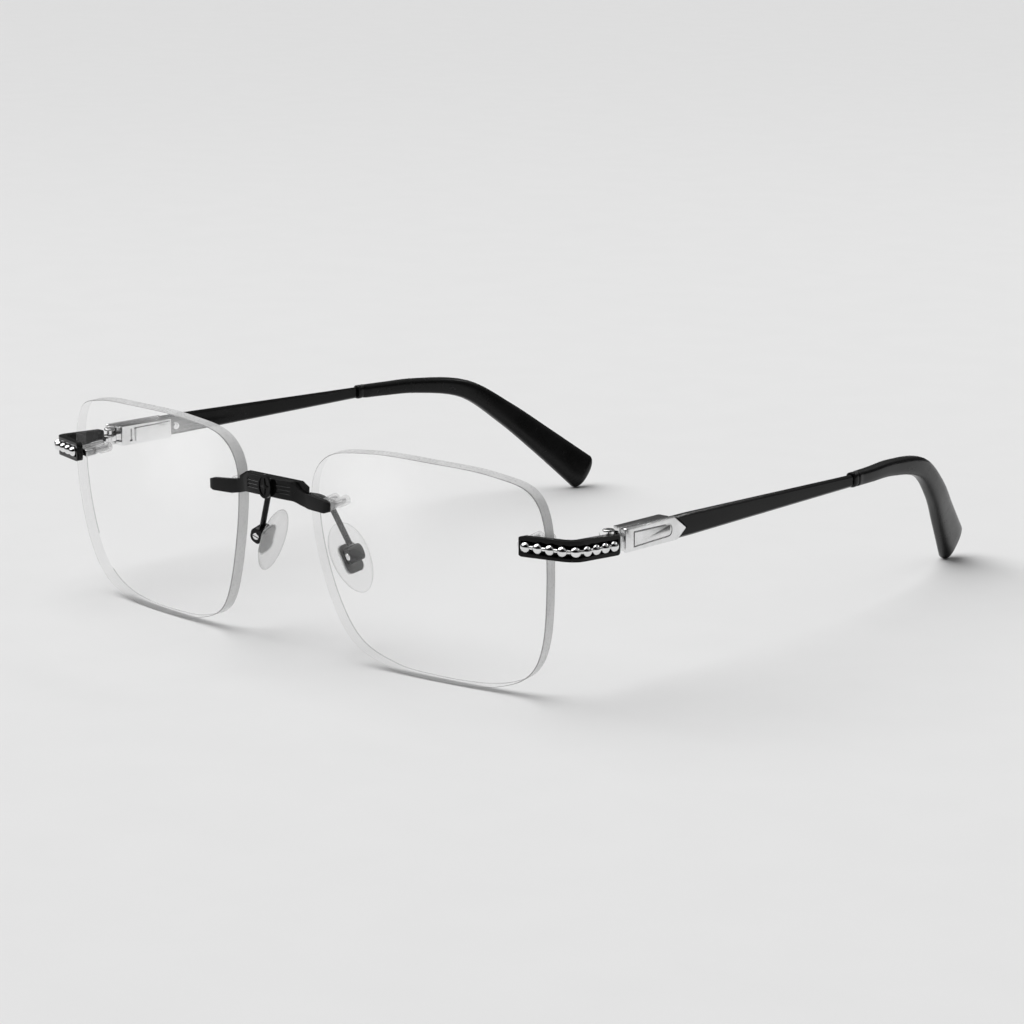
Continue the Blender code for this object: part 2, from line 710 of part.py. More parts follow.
def hinge_slider():
    """The temple's knuckle on a carriage, with a rod that runs through the spring."""
    low, high = KNUCKLE_SPLIT[1] + 0.08, KNUCKLE_SPLIT[2] - 0.08
    slider = rod("knuckle", (0, 0, low), (0, 0, high), KNUCKLE_RADIUS - 0.05, 20)
    slider = fuse(slider, box("neck", (-0.75, 0, low), (0.75, 3.4, high)))
    slider = fuse(slider, box("carriage", (-0.75, 3.3, -1.15), (0.75, 5.35, 1.15)))
    slider = fuse(slider, rod("rod", (0, 5.3, 0), (0, 13.6, 0), 0.36, 10))
    return cut(slider, rod("bore", (0, 0, -5), (0, 0, 5), HINGE_BORE, 16))


def hinge_spring():
    start, end = 6.85, 12.25
    per_turn = 8
    points = []
    for k in range(SPRING_TURNS * per_turn + 1):
        angle = 2 * math.pi * k / per_turn
        y = start + (end - start) * k / (SPRING_TURNS * per_turn)
        points.append((SPRING_RADIUS * math.cos(angle), y, SPRING_RADIUS * math.sin(angle)))
    return tube("hinge_spring", points, SPRING_WIRE, 0)


def spring_retainer():
    collar = rod("collar", (0, 12.5, 0), (0, 13.3, 0), 0.78, 12)
    return cut(collar, rod("bore", (0, 10, 0), (0, 15, 0), 0.42, 10))


def spring_housing():
    """A case on the temple's inner side that the slider runs in, open under its cover."""
    case = prism("spring_housing", rounded([(-1.1, HOUSING_START, 0.25), (1.25, HOUSING_START, 0),
                                            (1.25, HOUSING_END, 0), (-1.1, HOUSING_END, 0.25)], 2), -2.05, 2.05)
    case = bevel(case, 0.25, 2, 50)
    guide = box("guide", (-0.85, 0, -1.3), (0.85, 5.45, 1.3))
    passage = rod("passage", (0, 5, 0), (0, 7.5, 0), 0.5, 10)
    pocket = box("pocket", (-2, 6.65, -1.1), (0.95, 15.3, 1.1))
    window = box("window", (-2, 4.6, -1.35), (-0.8, 5.3, 1.35))
    return cut(case, guide, passage, pocket, window)


def spring_cover():
    outline = rounded([(6.1, -1.55, 0.3), (15.5, -1.6, 0.3), (15.5, 1.6, 0.3), (6.1, 1.45, 0.3)], 2)
    return bevel(prism("spring_cover", outline, -1.5, -1.16, SIDE), 0.1, 1, 50)


# ---------------------------------------------------------------- temples, from the hinge axis

def drop(obj):
    """Shear a level piece so that it follows the temple's fall towards the ear."""
    shear = Matrix.Identity(4)
    shear[2][1] = -TEMPLE_DROP
    return moved(obj, shear)


def arrow(grow):
    """The ferrule's side outline, ending in a point, made larger all round by grow."""
    return [
        (FERRULE_START - grow, -FERRULE_HALF_HEIGHT - grow), (FERRULE_SHOULDER + 0.8, -FERRULE_HALF_HEIGHT - grow),
        (FERRULE_TIP + grow * 1.5, -0.35), (FERRULE_SHOULDER + grow, FERRULE_HALF_HEIGHT + grow),
        (FERRULE_START - grow, FERRULE_HALF_HEIGHT + grow),
    ]


def ferrule():
    """A silver cap over the front of the arm, with a slot for its inlay."""
    outer, split, inner = ARM_X + 0.9, ARM_X + 0.05, ARM_X - 0.85
    shell = prism("ferrule", arrow(0), split, outer, SIDE)
    shell = bevel(shell, 0.3, 2, 40)
    wall = FERRULE_HALF_HEIGHT - 0.25
    back = box("back", (inner, FERRULE_START + 0.08, -wall), (split + 0.3, FERRULE_SHOULDER - 0.5, wall))
    shell = fuse(shell, back)
    pocket = box("pocket", (inner - 1, FERRULE_START + 0.75, -1.5), (split + 0.04, FERRULE_TIP + 3, 1.5))
    slot = prism("slot", rounded([(3.5, -1.62, 0.1), (15.0, -1.25, 1.2), (15.0, 1.25, 1.2), (3.5, 1.5, 0.1)], 5),
                 outer - 0.5, outer + 1, SIDE)
    return cut(shell, pocket, slot)


def ferrule_inlay():
    outline = rounded([(3.75, -1.3, 0.1), (14.7, -0.95, 0.92), (14.7, 0.95, 0.92), (3.75, 1.2, 0.1)], 5)
    return bevel(prism("ferrule_inlay", outline, ARM_X + 0.46, ARM_X + 0.95, SIDE), 0.2, 2, 60)


def path_frames(points):
    """At each point: the way along, the way outwards and the way up."""
    frames = []
    for i, point in enumerate(points):
        ahead = points[min(i + 1, len(points) - 1)] - points[max(i - 1, 0)]
        ahead.normalize()
        side = (Vector((1, 0, 0)) - ahead * ahead.x).normalized()
        frames.append((point, side, side.cross(ahead)))
    return frames


def chamfered_section(half_x, half_z, chamfer):
    a, b, c = half_x, half_z, chamfer
    return [(a, -b + c), (a, b - c), (a - c, b), (-a + c, b), (-a, b - c), (-a, -b + c), (-a + c, -b), (a - c, -b)]


def superellipse_section(half_x, half_z, power, sides):
    section = []
    for k in range(sides):
        angle = 2 * math.pi * (k + 0.5) / sides
        c, s = math.cos(angle), math.sin(angle)
        section.append((half_x * math.copysign(abs(c) ** (2 / power), c),
                        half_z * math.copysign(abs(s) ** (2 / power), s)))
    return section


def ring_at(frame, section):
    point, side, up = frame
    return [point + side * a + up * b for a, b in section]


def tip_curve(per_span):
    return smooth_curve([(x, y, z - HINGE_Z) for x, y, z in TIP_PATH], per_span)


def plate_outline(grow):
    """The inner plate's side outline, with a slanting rear end, made larger all round by grow."""
    front, half = FERRULE_SHOULDER + 0.35 - grow, 1.7 + grow
    return [(front, -half), (29.6 + grow * 3, -half), (21.8 + grow * 3, half), (front, half)]


def temple_arm():
    """The lacquered bar, which is thinned under the ferrule and runs on inside the tip as a core."""
    rings = []
    end = ARM_END - 0.2
    for y in (ARM_START, ARM_TAPER_START, (ARM_TAPER_START + end) / 2, end):
        t = (y - ARM_START) / (end - ARM_START)
        taper = max(0.0, (y - ARM_TAPER_START) / (end - ARM_TAPER_START))
        half_x = ARM_HALF_THICKNESS[0] * (1 - t) + ARM_HALF_THICKNESS[1] * t
        half_z = ARM_HALF_HEIGHT[0] * (1 - taper) + ARM_HALF_HEIGHT[1] * taper
        frame = (Vector((ARM_X, y, -TEMPLE_DROP * y)), Vector((1, 0, 0)), Vector((0, 0, 1)))
        rings.append(ring_at(frame, chamfered_section(half_x, half_z, 0.42)))
    core = path_frames(tip_curve(2))[:9]
    neck = (core[0][0] - Vector((0, 0.15, 0)), core[0][1], core[0][2])
    for index, frame in enumerate([neck] + core[1:]):
        rings.append(ring_at(frame, chamfered_section(0.45, 0.8 - 0.02 * index, 0.2)))
    arm = loft("temple_arm", rings)
    under_cap = prism("under_cap", arrow(0.08), ARM_X - 0.02, ARM_X + 3, SIDE)
    above = box("above", (-3, 0, 1.4), (5, FERRULE_SHOULDER - 0.4, 5))
    below = box("below", (-3, 0, -5), (5, FERRULE_SHOULDER - 0.4, -1.4))
    seat = prism("seat", plate_outline(0.06), 0, ARM_X - 0.4, SIDE)
    hole = rod("hole", (0, *RIVET), (ARM_X + 0.04, *RIVET), 0.62, 12)
    return cut(arm, *[drop(cutter) for cutter in (under_cap, above, below, seat, hole)])


def temple_plate():
    """A grey metal plate let into the inner side of the arm behind the spring housing."""
    plate = prism("temple_plate", plate_outline(0), ARM_X - 0.82, ARM_X - 0.42, SIDE)
    return cut(plate, rod("hole", (0, *RIVET), (ARM_X, *RIVET), 0.62, 12))


def temple_rivet():
    shank = rod("shank", (ARM_X - 0.85, *RIVET), (ARM_X, *RIVET), 0.55, 12)
    return fuse(shank, rod("head", (ARM_X - 1.05, *RIVET), (ARM_X - 0.83, *RIVET), 0.72, 12, 0.85))


def temple_tip():
    """A moulded end piece: a slim sleeve that widens and bends down into a flat paddle."""
    points = tip_curve(2)
    frames = path_frames(points)
    length = path_length(points)
    rings, walked = [], 0.0
    for i, frame in enumerate(frames):
        if i:
            walked += (points[i] - points[i - 1]).length
        t = walked / length
        half_x = 1.15 + 0.5 * math.sin(math.pi / 2 * min(1.0, t / 0.75))
        half_z = 1.52 + 2.85 * t ** 1.9
        rings.append(ring_at(frame, superellipse_section(half_x, half_z, 3.0, 12)))
    last_point, side, up = frames[-1]
    ahead = up.cross(side)
    for reach, shrink in ((0.9, 0.9), (1.6, 0.66), (1.95, 0.34)):
        end = (last_point + ahead * reach, side, up)
        rings.append(ring_at(end, superellipse_section(half_x * shrink, half_z * shrink, 2.6, 12)))
    tip = loft("temple_tip", rings)
    bore_rings = []
    first = frames[0]
    bore_rings.append(ring_at((first[0] - Vector((0, 1, 0)), first[1], first[2]), chamfered_section(0.62, 0.97, 0.2)))
    for frame in frames[:10]:
        bore_rings.append(ring_at(frame, chamfered_section(0.62, 0.97, 0.2)))
    return cut(tip, loft("bore", bore_rings))


# ---------------------------------------------------------------- assembly

def build():
    at_lens = lens_place()
    at_hinge = hinge_place() @ Matrix.Translation((0, 0, HINGE_Z))
    at_temple = temple_place() @ Matrix.Translation((0, 0, HINGE_Z))
    at_pad = pad_place()

    pair(lens(), "lens", CLEAR, at_lens)
    pair(pin_plate(NASAL_PINS), "bridge_pins", SILVER, at_lens)
    pair(pin_plate(TEMPORAL_PINS), "endpiece_pins", SILVER, at_lens)
    pair(bushing(NASAL_PINS), "bridge_bushing", CLEAR_SOFT, at_lens)
    pair(bushing(TEMPORAL_PINS), "endpiece_bushing", CLEAR_SOFT, at_lens)

    single(bridge(), "bridge", BLACK)
    single(medallion(), "bridge_medallion", BLACK)

    pair(pad_arm(), "pad_arm", BLACK)
    pair(pad_box(), "pad_box", BLACK, at_pad)
    pair(pad_screw(), "pad_screw", SILVER, at_pad)
    pair(pad_insert(), "pad_insert", SATIN, at_pad)
    pair(nose_pad(), "nose_pad", CLEAR_SOFT, at_pad)

    pair(endpiece(), "endpiece", BLACK)
    pair(bead_strip(), "bead_strip", SILVER)

    pair(hinge_leaf(), "hinge_leaf", SILVER, at_hinge)
    pair(hinge_screw(), "hinge_screw", SILVER, at_hinge)
    pair(hinge_slider(), "hinge_slider", SILVER, at_temple)
    pair(spring_retainer(), "spring_retainer", STEEL, at_temple)
    pair(hinge_spring(), "hinge_spring", STEEL, at_temple)

    pair(drop(spring_housing()), "spring_housing", SILVER, at_temple)
    pair(drop(spring_cover()), "spring_cover", SILVER, at_temple)
    pair(drop(ferrule()), "ferrule", SILVER, at_temple)
    pair(drop(ferrule_inlay()), "ferrule_inlay", SILVER, at_temple)
    pair(temple_arm(), "temple_arm", BLACK, at_temple)
    pair(drop(temple_plate()), "temple_plate", SATIN, at_temple)
    pair(drop(temple_rivet()), "temple_rivet", SILVER, at_temple)
    pair(temple_tip(), "temple_tip", TIP_BLACK, at_temple)


empty_scene()
WORKSHOP = new_collection("cutters")
PIECES = new_collection(OBJECT_NAME)
ROOT = bpy.data.objects.new("front_frame", None)
PIECES.objects.link(ROOT)
ROOT.location = (0, -CENTRE_Y * MM, 0)
build()
bpy.context.view_layer.update()
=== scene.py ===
"""Looks for the rimless eyeglasses: fine meshes, finishes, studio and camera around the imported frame.

Shapes are designed in millimetres on the wearer's left, in the same local frames as the part's source:
  front frame    origin on the mirror plane, under the lenses; +Y runs back towards the ears, +Z is up
  lens frame     x towards the temple, y back along the lens axis, z up; origin at the front vertex
  temple frame   origin on the hinge axis; y runs back along the temple arm
  pad frame      x away from the nose, y back across the pad, z up along the pad
"""
import json
import math

import bmesh
import bpy
from mathutils import Euler, Matrix, Vector


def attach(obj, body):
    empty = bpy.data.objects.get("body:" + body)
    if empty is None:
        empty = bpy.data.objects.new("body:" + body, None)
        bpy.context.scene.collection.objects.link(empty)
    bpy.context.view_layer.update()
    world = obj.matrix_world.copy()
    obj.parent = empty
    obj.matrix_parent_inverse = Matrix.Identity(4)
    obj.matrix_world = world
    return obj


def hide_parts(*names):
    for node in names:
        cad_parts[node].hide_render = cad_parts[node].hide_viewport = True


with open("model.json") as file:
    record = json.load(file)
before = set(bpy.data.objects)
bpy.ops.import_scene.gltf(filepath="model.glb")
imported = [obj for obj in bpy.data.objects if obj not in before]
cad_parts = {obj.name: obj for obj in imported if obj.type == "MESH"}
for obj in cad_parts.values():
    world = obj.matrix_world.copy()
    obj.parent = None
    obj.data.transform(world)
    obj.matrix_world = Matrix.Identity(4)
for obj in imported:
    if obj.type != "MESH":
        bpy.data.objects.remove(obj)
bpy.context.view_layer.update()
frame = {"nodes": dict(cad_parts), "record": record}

MM = 0.001

# The front-to-back middle of the whole object, which becomes y = 0.
CENTRE_Y = 75.4

# Lenses
LENS_WIDTH = 56.0
BRIDGE_GAP = 21.15
LENS_THICKNESS = 2.6
LENS_FRONT_RADIUS = 132.0
LENS_WRAP = math.radians(5.83)
LENS_LEAN = math.radians(4.91)
LENS_OUTLINE = [
    (27.6, 12.0), (24.7, 17.8), (16.7, 20.4), (3.1, 21.5), (-12.3, 21.4), (-23.6, 19.1), (-27.6, 14.1),
    (-27.2, 0.2), (-20.3, -16.9), (-11.2, -20.9), (-3.1, -21.7), (14.9, -21.0), (22.3, -17.7), (26.1, -10.7),
]
LENS_HOLE_RADIUS = 0.85
LENS_CHAMFER = 0.14
LENS_CHAMFER_SCALE = 0.994
LENS_RINGS = 18

# Drill mounts: where each pair of pins goes through a lens, in the lens frame
PIN_SPACING = 2.6
PIN_RADIUS = 0.45
NASAL_PINS = (-24.7, 9.3)
TEMPORAL_PINS = (24.3, 8.2)
BUSHING_LENGTH = 3.2
BUSHING_RADIUS = 1.0
SPIGOT_RADIUS = 0.72
BUSHING_BORE = 0.58

# Bridge, in the front frame
BRIDGE_TOP = 34.75
BRIDGE_HALF_LENGTH = 16.9
REED_COUNT = 4
MEDALLION_HEIGHT = 4.7
MEDALLION_WIDTH = 3.6
MEDALLION_Z = 33.1

# Nose pads: the pad's centre, its outward normal and its upward axis, in the front frame
PAD_CENTRE = Vector((11.1, 9.4, 18.5))
PAD_NORMAL = Vector((0.902, -0.215, 0.374))
PAD_UP = Vector((-0.405, -0.126, 0.906))
PAD_SIZE = (1.35, 4.3, 7.25)
PAD_FACE = 1.05
PAD_PIVOT = Vector((2.7, -0.7, 0.4))
PAD_ARM_RADIUS = 0.6
PAD_BORE = 0.56

# Endpieces, in plan
ENDPIECE_INNER = Vector((61.75, 3.0))
ENDPIECE_CORNER = Vector((72.0, 6.1))
ENDPIECE_REAR = Vector((72.2, 17.8))
ENDPIECE_BEND_RADIUS = 2.6
ENDPIECE_HALF_HEIGHT = 1.95
ENDPIECE_Z = 30.1
ENDPIECE_RISE = (0.0, -0.05)
CHANNEL_HALF_HEIGHT = 1.12
CHANNEL_END = 0.5
CHANNEL_REAR_END = 0.55
BEAD_COUNT = 9
BEAD_RADIUS = 1.03
BEAD_LINE = 1.07
BEAD_START = 1.56
BEAD_END_GAP = 2.1

# Hinges: the axis is upright
HINGE = Vector((70.1, 17.9))
HINGE_Z = 29.95
KNUCKLE_RADIUS = 1.5
KNUCKLE_SPLIT = (-1.9, -0.75, 0.6, 1.55)
SCREW_RADIUS = 0.5
HINGE_BORE = 0.56

# Temples, in the temple frame
TEMPLE_LEAN = math.radians(1.54)
ARM_X = 2.25
ARM_HALF_THICKNESS = (0.85, 0.62)
ARM_HALF_HEIGHT = (2.2, 1.22)
ARM_TAPER_START = 21.0
TEMPLE_DROP = 0.0125
ARM_START = 2.3
ARM_END = 73.8
FERRULE_START = 1.35
FERRULE_HALF_HEIGHT = 2.3
FERRULE_SHOULDER = 16.0
FERRULE_TIP = 19.5
HOUSING_START = 2.6
HOUSING_END = 16.2
RIVET = (19.6, -0.3)
RIVET_RADIUS = 0.55
RIVET_HOLE = 0.62
TIP_PATH = [
    (2.1, 73.8, 29.13), (1.35, 81.5, 28.95), (0.0, 90.5, 28.63), (-2.2, 104.5, 26.16),
    (-5.2, 114.8, 19.43), (-9.0, 123.9, 11.7), (-12.8, 133.1, 3.55),
]

# Sides of a round rod, the area from which a many-sided face is flat, and the angle of a hard edge
ROUND = 32
FLAT_AREA = 0.3e-6
SHARP_ANGLE = math.radians(33)
PAD_PLAN = Matrix(((1, 0, 0, 0), (0, 0, 1, 0), (0, 1, 0, 0), (0, 0, 0, 1)))
MIRROR = Matrix.Diagonal((-1, 1, 1, 1))

# Camera: turned about +Z from the front and raised from level, in degrees; distance and aim in millimetres
VIEW_TURN = 42.62
VIEW_RISE = 12.955
VIEW_ROLL = -0.175
VIEW_DISTANCE = 659.4
VIEW_TARGET = (25.6, 40.0, 24.6)
VIEW_LENS = 116.8

# Studio, in metres
FLOOR_HALF_WIDTH = 4.0
FLOOR_GAP = 0.0001
FLOOR_TONE = 0.78
ROOM_LIGHT = 0.36
SUN_STRENGTH = 2.62
SUN_SPREAD = math.radians(70)
SUN_FROM = (-0.50, -0.12, 0.86)
CARD_POWER = 0.42
CARD_WIDTH = 0.02
CARD_LENGTH = 0.4
CARD_AIM = (0, 0, 0.02)
LENS_ALPHA = 0.015
# Painted glow on the lenses: a white, more opaque patch high towards the nose, lit by the lens's own painted
# emission.
PAINTED_GLOW_ALPHA = 0.19
PAINTED_GLOW_CENTRE = (0.0275, 0.0, 0.035)
PAINTED_GLOW_SCALE = (45.0, 0.0, 52.0)
DARK_FROM = (0.66, -0.72, 0.22)
DARK_STOPS = ((0.0, 1.0), (0.45, 1.0), (0.72, 0.08), (0.85, 0.01), (1.0, 0.01))
HEIGHT_STOPS = ((0.0, 0.2), (0.28, 0.22), (0.5, 0.8), (1.0, 1.0))


# -------- modelling helpers

def add_object(name, data):
    obj = bpy.data.objects.new(name, data)
    bpy.context.scene.collection.objects.link(obj)
    return obj


def object_from(name, mesh_builder):
    """A new object from a bmesh that mesh_builder fills in millimetres."""
    bm = bmesh.new()
    mesh_builder(bm)
    bmesh.ops.scale(bm, vec=(MM, MM, MM), verts=bm.verts)
    bmesh.ops.recalc_face_normals(bm, faces=bm.faces)
    mesh = bpy.data.meshes.new(name)
    bm.to_mesh(mesh)
    bm.free()
    return add_object(name, mesh)


def settle(obj):
    """Replace an object by the mesh that its modifiers, or its curve, evaluate to."""
    bpy.context.view_layer.update()
    evaluated = obj.evaluated_get(bpy.context.evaluated_depsgraph_get())
    mesh = bpy.data.meshes.new_from_object(evaluated)
    name = obj.name
    matrix = obj.matrix_world.copy()
    bpy.data.objects.remove(obj, do_unlink=True)
    bm = bmesh.new()
    bm.from_mesh(mesh)
    bmesh.ops.remove_doubles(bm, verts=bm.verts, dist=0.001 * MM)
    bmesh.ops.recalc_face_normals(bm, faces=bm.faces)
    bm.to_mesh(mesh)
    bm.free()
    made = add_object(name, mesh)
    made.matrix_world = matrix
    return made


def join_in(obj, other, operation):
    """Boolean obj with other, which is used up."""
    modifier = obj.modifiers.new("boolean", "BOOLEAN")
    modifier.operation = operation
    modifier.solver = "EXACT"
    modifier.object = other
    result = settle(obj)
    bpy.data.objects.remove(other, do_unlink=True)
    return result


def cut(obj, *cutters):
    for cutter in cutters:
        obj = join_in(obj, cutter, "DIFFERENCE")
    return obj


def fuse(obj, *others):
    for other in others:
        obj = join_in(obj, other, "UNION")
    return obj


def bevel(obj, width, segments=4, angle=35):
    modifier = obj.modifiers.new("bevel", "BEVEL")
    modifier.width = width * MM
    modifier.segments = segments
    modifier.limit_method = "ANGLE"
    modifier.angle_limit = math.radians(angle)
    return settle(obj)


def metric(matrix):
    """A placement in millimetres as the same placement in metres."""
    made = matrix.copy()
    made.translation = matrix.translation * MM
    return made


def moved(obj, matrix):
    """Bake a matrix, in millimetres, into the mesh of obj."""
    obj.data.transform(metric(matrix))
    return obj


def box(name, low, high):
    middle = (Vector(low) + Vector(high)) / 2
    size = Vector(high) - Vector(low)
    matrix = Matrix.Translation(middle) @ Matrix.Diagonal((*size, 1.0))
    return object_from(name, lambda bm: bmesh.ops.create_cube(bm, size=1.0, matrix=matrix))


def along(start, end):
    """A frame at the middle of a line, with z along it."""
    start, end = Vector(start), Vector(end)
    turn = (end - start).to_track_quat("Z", "Y").to_matrix().to_4x4()
    return Matrix.Translation((start + end) / 2) @ turn


def rod(name, start, end, radius, sides=ROUND, end_radius=None):
    depth = (Vector(end) - Vector(start)).length
    tip = radius if end_radius is None else end_radius

    def fill(bm):
        bmesh.ops.create_cone(bm, cap_ends=True, segments=sides, radius1=radius, radius2=tip,
                              depth=depth, matrix=along(start, end))
    return object_from(name, fill)


PLAN = Matrix.Identity(4)
SIDE = Matrix(((0, 0, 1, 0), (1, 0, 0, 0), (0, 1, 0, 0), (0, 0, 0, 1)))
FRONT = Matrix(((1, 0, 0, 0), (0, 0, -1, 0), (0, 1, 0, 0), (0, 0, 0, 1)))


def prism(name, outline, low, high, view=PLAN):
    """A flat outline drawn in PLAN (x, y), SIDE (y, z) or FRONT (x, z), thick from low to high."""
    if view is FRONT:
        # The outline's own thickness axis points towards -Y in this view.
        low, high = -high, -low
    curve = bpy.data.curves.new(name, "CURVE")
    curve.dimensions = "2D"
    curve.fill_mode = "BOTH"
    curve.extrude = (high - low) / 2 * MM
    spline = curve.splines.new("POLY")
    spline.points.add(len(outline) - 1)
    for point, (a, b) in zip(spline.points, outline):
        point.co = (a * MM, b * MM, 0.0, 1.0)
    spline.use_cyclic_u = True
    obj = settle(add_object(name, curve))
    return moved(obj, view @ Matrix.Translation((0, 0, (low + high) / 2)))


def tube(name, points, radius, resolution=7, radii=None):
    curve = bpy.data.curves.new(name, "CURVE")
    curve.dimensions = "3D"
    curve.bevel_depth = radius * MM
    curve.bevel_resolution = resolution
    curve.use_fill_caps = True
    spline = curve.splines.new("POLY")
    spline.points.add(len(points) - 1)
    for index, (point, place) in enumerate(zip(spline.points, points)):
        point.co = (*(Vector(place) * MM), 1.0)
        point.radius = radii[index] if radii else 1.0
    return settle(add_object(name, curve))


def loft(name, rings):
    """A closed skin through rings of equally many points, with flat ends."""
    def fill(bm):
        loops = [[bm.verts.new(point) for point in ring] for ring in rings]
        count = len(rings[0])
        for near, far in zip(loops, loops[1:]):
            for i in range(count):
                bm.faces.new((near[i], near[(i + 1) % count], far[(i + 1) % count], far[i]))
        bm.faces.new(loops[0][::-1])
        bm.faces.new(loops[-1])
    return object_from(name, fill)


def smooth_curve(anchors, per_span, closed=False):
    """Points on a centripetal Hermite curve through the anchors."""
    points = [Vector(a) for a in anchors]
    count = len(points)
    ends = points[1:] + points[:1] if closed else points[1:]
    steps = [math.sqrt((b - a).length) for a, b in zip(points, ends)]

    def slope(i):
        if closed or 0 < i < count - 1:
            before, after = steps[(i - 1) % len(steps)], steps[i % len(steps)]
            back = (points[i] - points[(i - 1) % count]) / before
            ahead = (points[(i + 1) % count] - points[i]) / after
            return (back * after + ahead * before) / (before + after)
        near = min(i, count - 2)
        return (points[near + 1] - points[near]) / steps[near]

    slopes = [slope(i) for i in range(count)]
    result = []
    for i, step in enumerate(steps):
        j = (i + 1) % count
        for k in range(per_span):
            t = k / per_span
            result.append(points[i] * (2 * t ** 3 - 3 * t ** 2 + 1)
                          + slopes[i] * step * (t ** 3 - 2 * t ** 2 + t)
                          + points[j] * (3 * t ** 2 - 2 * t ** 3)
                          + slopes[j] * step * (t ** 3 - t ** 2))
    if not closed:
        result.append(points[-1])
    return result


def rounded(corners, steps=8):
    """An outline from (x, y, radius) corners, each turned into an arc where its radius isn't 0."""
    outline = []
    count = len(corners)
    for i, (x, y, radius) in enumerate(corners):
        here = Vector((x, y))
        if radius == 0:
            outline.append(here)
            continue
        before = (Vector(corners[i - 1][:2]) - here).normalized()
        after = (Vector(corners[(i + 1) % count][:2]) - here).normalized()
        half = before.angle(after) / 2
        centre = here + (before + after).normalized() * radius / math.sin(half)
        first = here + before * radius / math.tan(half) - centre
        last = here + after * radius / math.tan(half) - centre
        turn = first.angle_signed(last)
        for k in range(steps + 1):
            outline.append(centre + Matrix.Rotation(-turn * k / steps, 2) @ first)
    return outline


def rounded_box(half_width, half_height, radius):
    corners = ((-1, -1), (1, -1), (1, 1), (-1, 1))
    return rounded([(a * half_width, b * half_height, radius) for a, b in corners])


def ellipse(centre, half_width, half_height, sides):
    angles = [2 * math.pi * k / sides for k in range(sides)]
    return [(centre[0] + half_width * math.cos(a), centre[1] + half_height * math.sin(a)) for a in angles]


# -------- local frames

def lens_outline(per_span):
    return smooth_curve(LENS_OUTLINE, per_span, closed=True)


def lens_sag(u, v):
    return (u * u + v * v) / (2 * LENS_FRONT_RADIUS)


LENS_TURN = Euler((LENS_LEAN, 0, LENS_WRAP), "ZYX").to_matrix().to_4x4()


def lens_place():
    """Lens frame to front frame, so high that the lens's lowest point is at z = 0."""
    edge = [LENS_TURN @ Vector((u, lens_sag(u, v), v)) for u, v in lens_outline(8)]
    lowest = min(point.z for point in edge)
    return Matrix.Translation(((LENS_WIDTH + BRIDGE_GAP) / 2, 0, -lowest)) @ LENS_TURN


def pad_place():
    side = PAD_UP.cross(PAD_NORMAL)
    turn = Matrix((PAD_NORMAL, side, PAD_UP)).transposed()
    for i in range(3):
        turn.col[i] = turn.col[i].normalized()
    return Matrix.Translation(PAD_CENTRE + turn @ PAD_PIVOT) @ turn.to_4x4()


def hinge_place():
    return Matrix.Translation((HINGE.x, HINGE.y, HINGE_Z))


def temple_place():
    return hinge_place() @ Matrix.Rotation(TEMPLE_LEAN, 4, "Z")


# -------- lenses and drill mounts

def pin_centres(middle):
    u, v = middle
    return [(u - PIN_SPACING / 2, v), (u + PIN_SPACING / 2, v)]


def lens_zone(normal):
    """0 on the two polished faces, 1 on the ground edge and in the holes, 2 on the chamfers."""
    level = abs(normal.y)
    if level > 0.85:
        return 0
    return 1 if level < 0.3 else 2


def lens():
    """Concentric rings on both spheres, a chamfered rim and four drilled holes."""
    rim = lens_outline(14)
    count = len(rim)
    scales = [k / LENS_RINGS for k in range(1, LENS_RINGS)] + [LENS_CHAMFER_SCALE]

    def fill(bm):
        def ring(scale, depth):
            points = [(u * scale, v * scale) for u, v in rim]
            return [bm.verts.new((u, lens_sag(u, v) + depth, v)) for u, v in points]
        front = [ring(scale, 0) for scale in scales]
        back = [ring(scale, LENS_THICKNESS) for scale in scales]
        edge = [ring(1.0, LENS_CHAMFER), ring(1.0, LENS_THICKNESS - LENS_CHAMFER)]
        loops = front + edge + back[::-1]
        for near, far in zip(loops, loops[1:]):
            for i in range(count):
                j = (i + 1) % count
                bm.faces.new((near[i], near[j], far[j], far[i]))
        for loop, depth in ((loops[0], 0), (loops[-1], LENS_THICKNESS)):
            middle = bm.verts.new((0, depth, 0))
            for i in range(count):
                bm.faces.new((middle, loop[i], loop[(i + 1) % count]))
    glass = object_from("lens", fill)
    holes = pin_centres(NASAL_PINS) + pin_centres(TEMPORAL_PINS)
    glass = cut(glass, *[rod("hole", (u, -3, v), (u, 12, v), LENS_HOLE_RADIUS, 24) for u, v in holes])
    for face in glass.data.polygons:
        face.material_index = lens_zone(face.normal)
    return glass


def pin_plate(middle):
    """Two pins on a small back plate that lies between the lens and the arm in front of it."""
    slope = (lens_sag(middle[0] + 1, middle[1]) - lens_sag(middle[0] - 1, middle[1])) / 2
    plate = prism("plate", rounded_box(2.1, 0.7, 0.5), -0.3, -0.08, FRONT)
    tilt = Matrix.Rotation(math.atan(slope), 4, "Z")
    plate = moved(plate, Matrix.Translation((middle[0], lens_sag(*middle), middle[1])) @ tilt)
    for u, v in pin_centres(middle):
        front = lens_sag(u, v)
        back = front + LENS_THICKNESS + BUSHING_LENGTH - 0.35
        pin = rod("pin", (u, front - 0.2, v), (u, back, v), PIN_RADIUS, 24)
        plate = fuse(plate, bevel(pin, 0.1, 2, 50))
    return plate


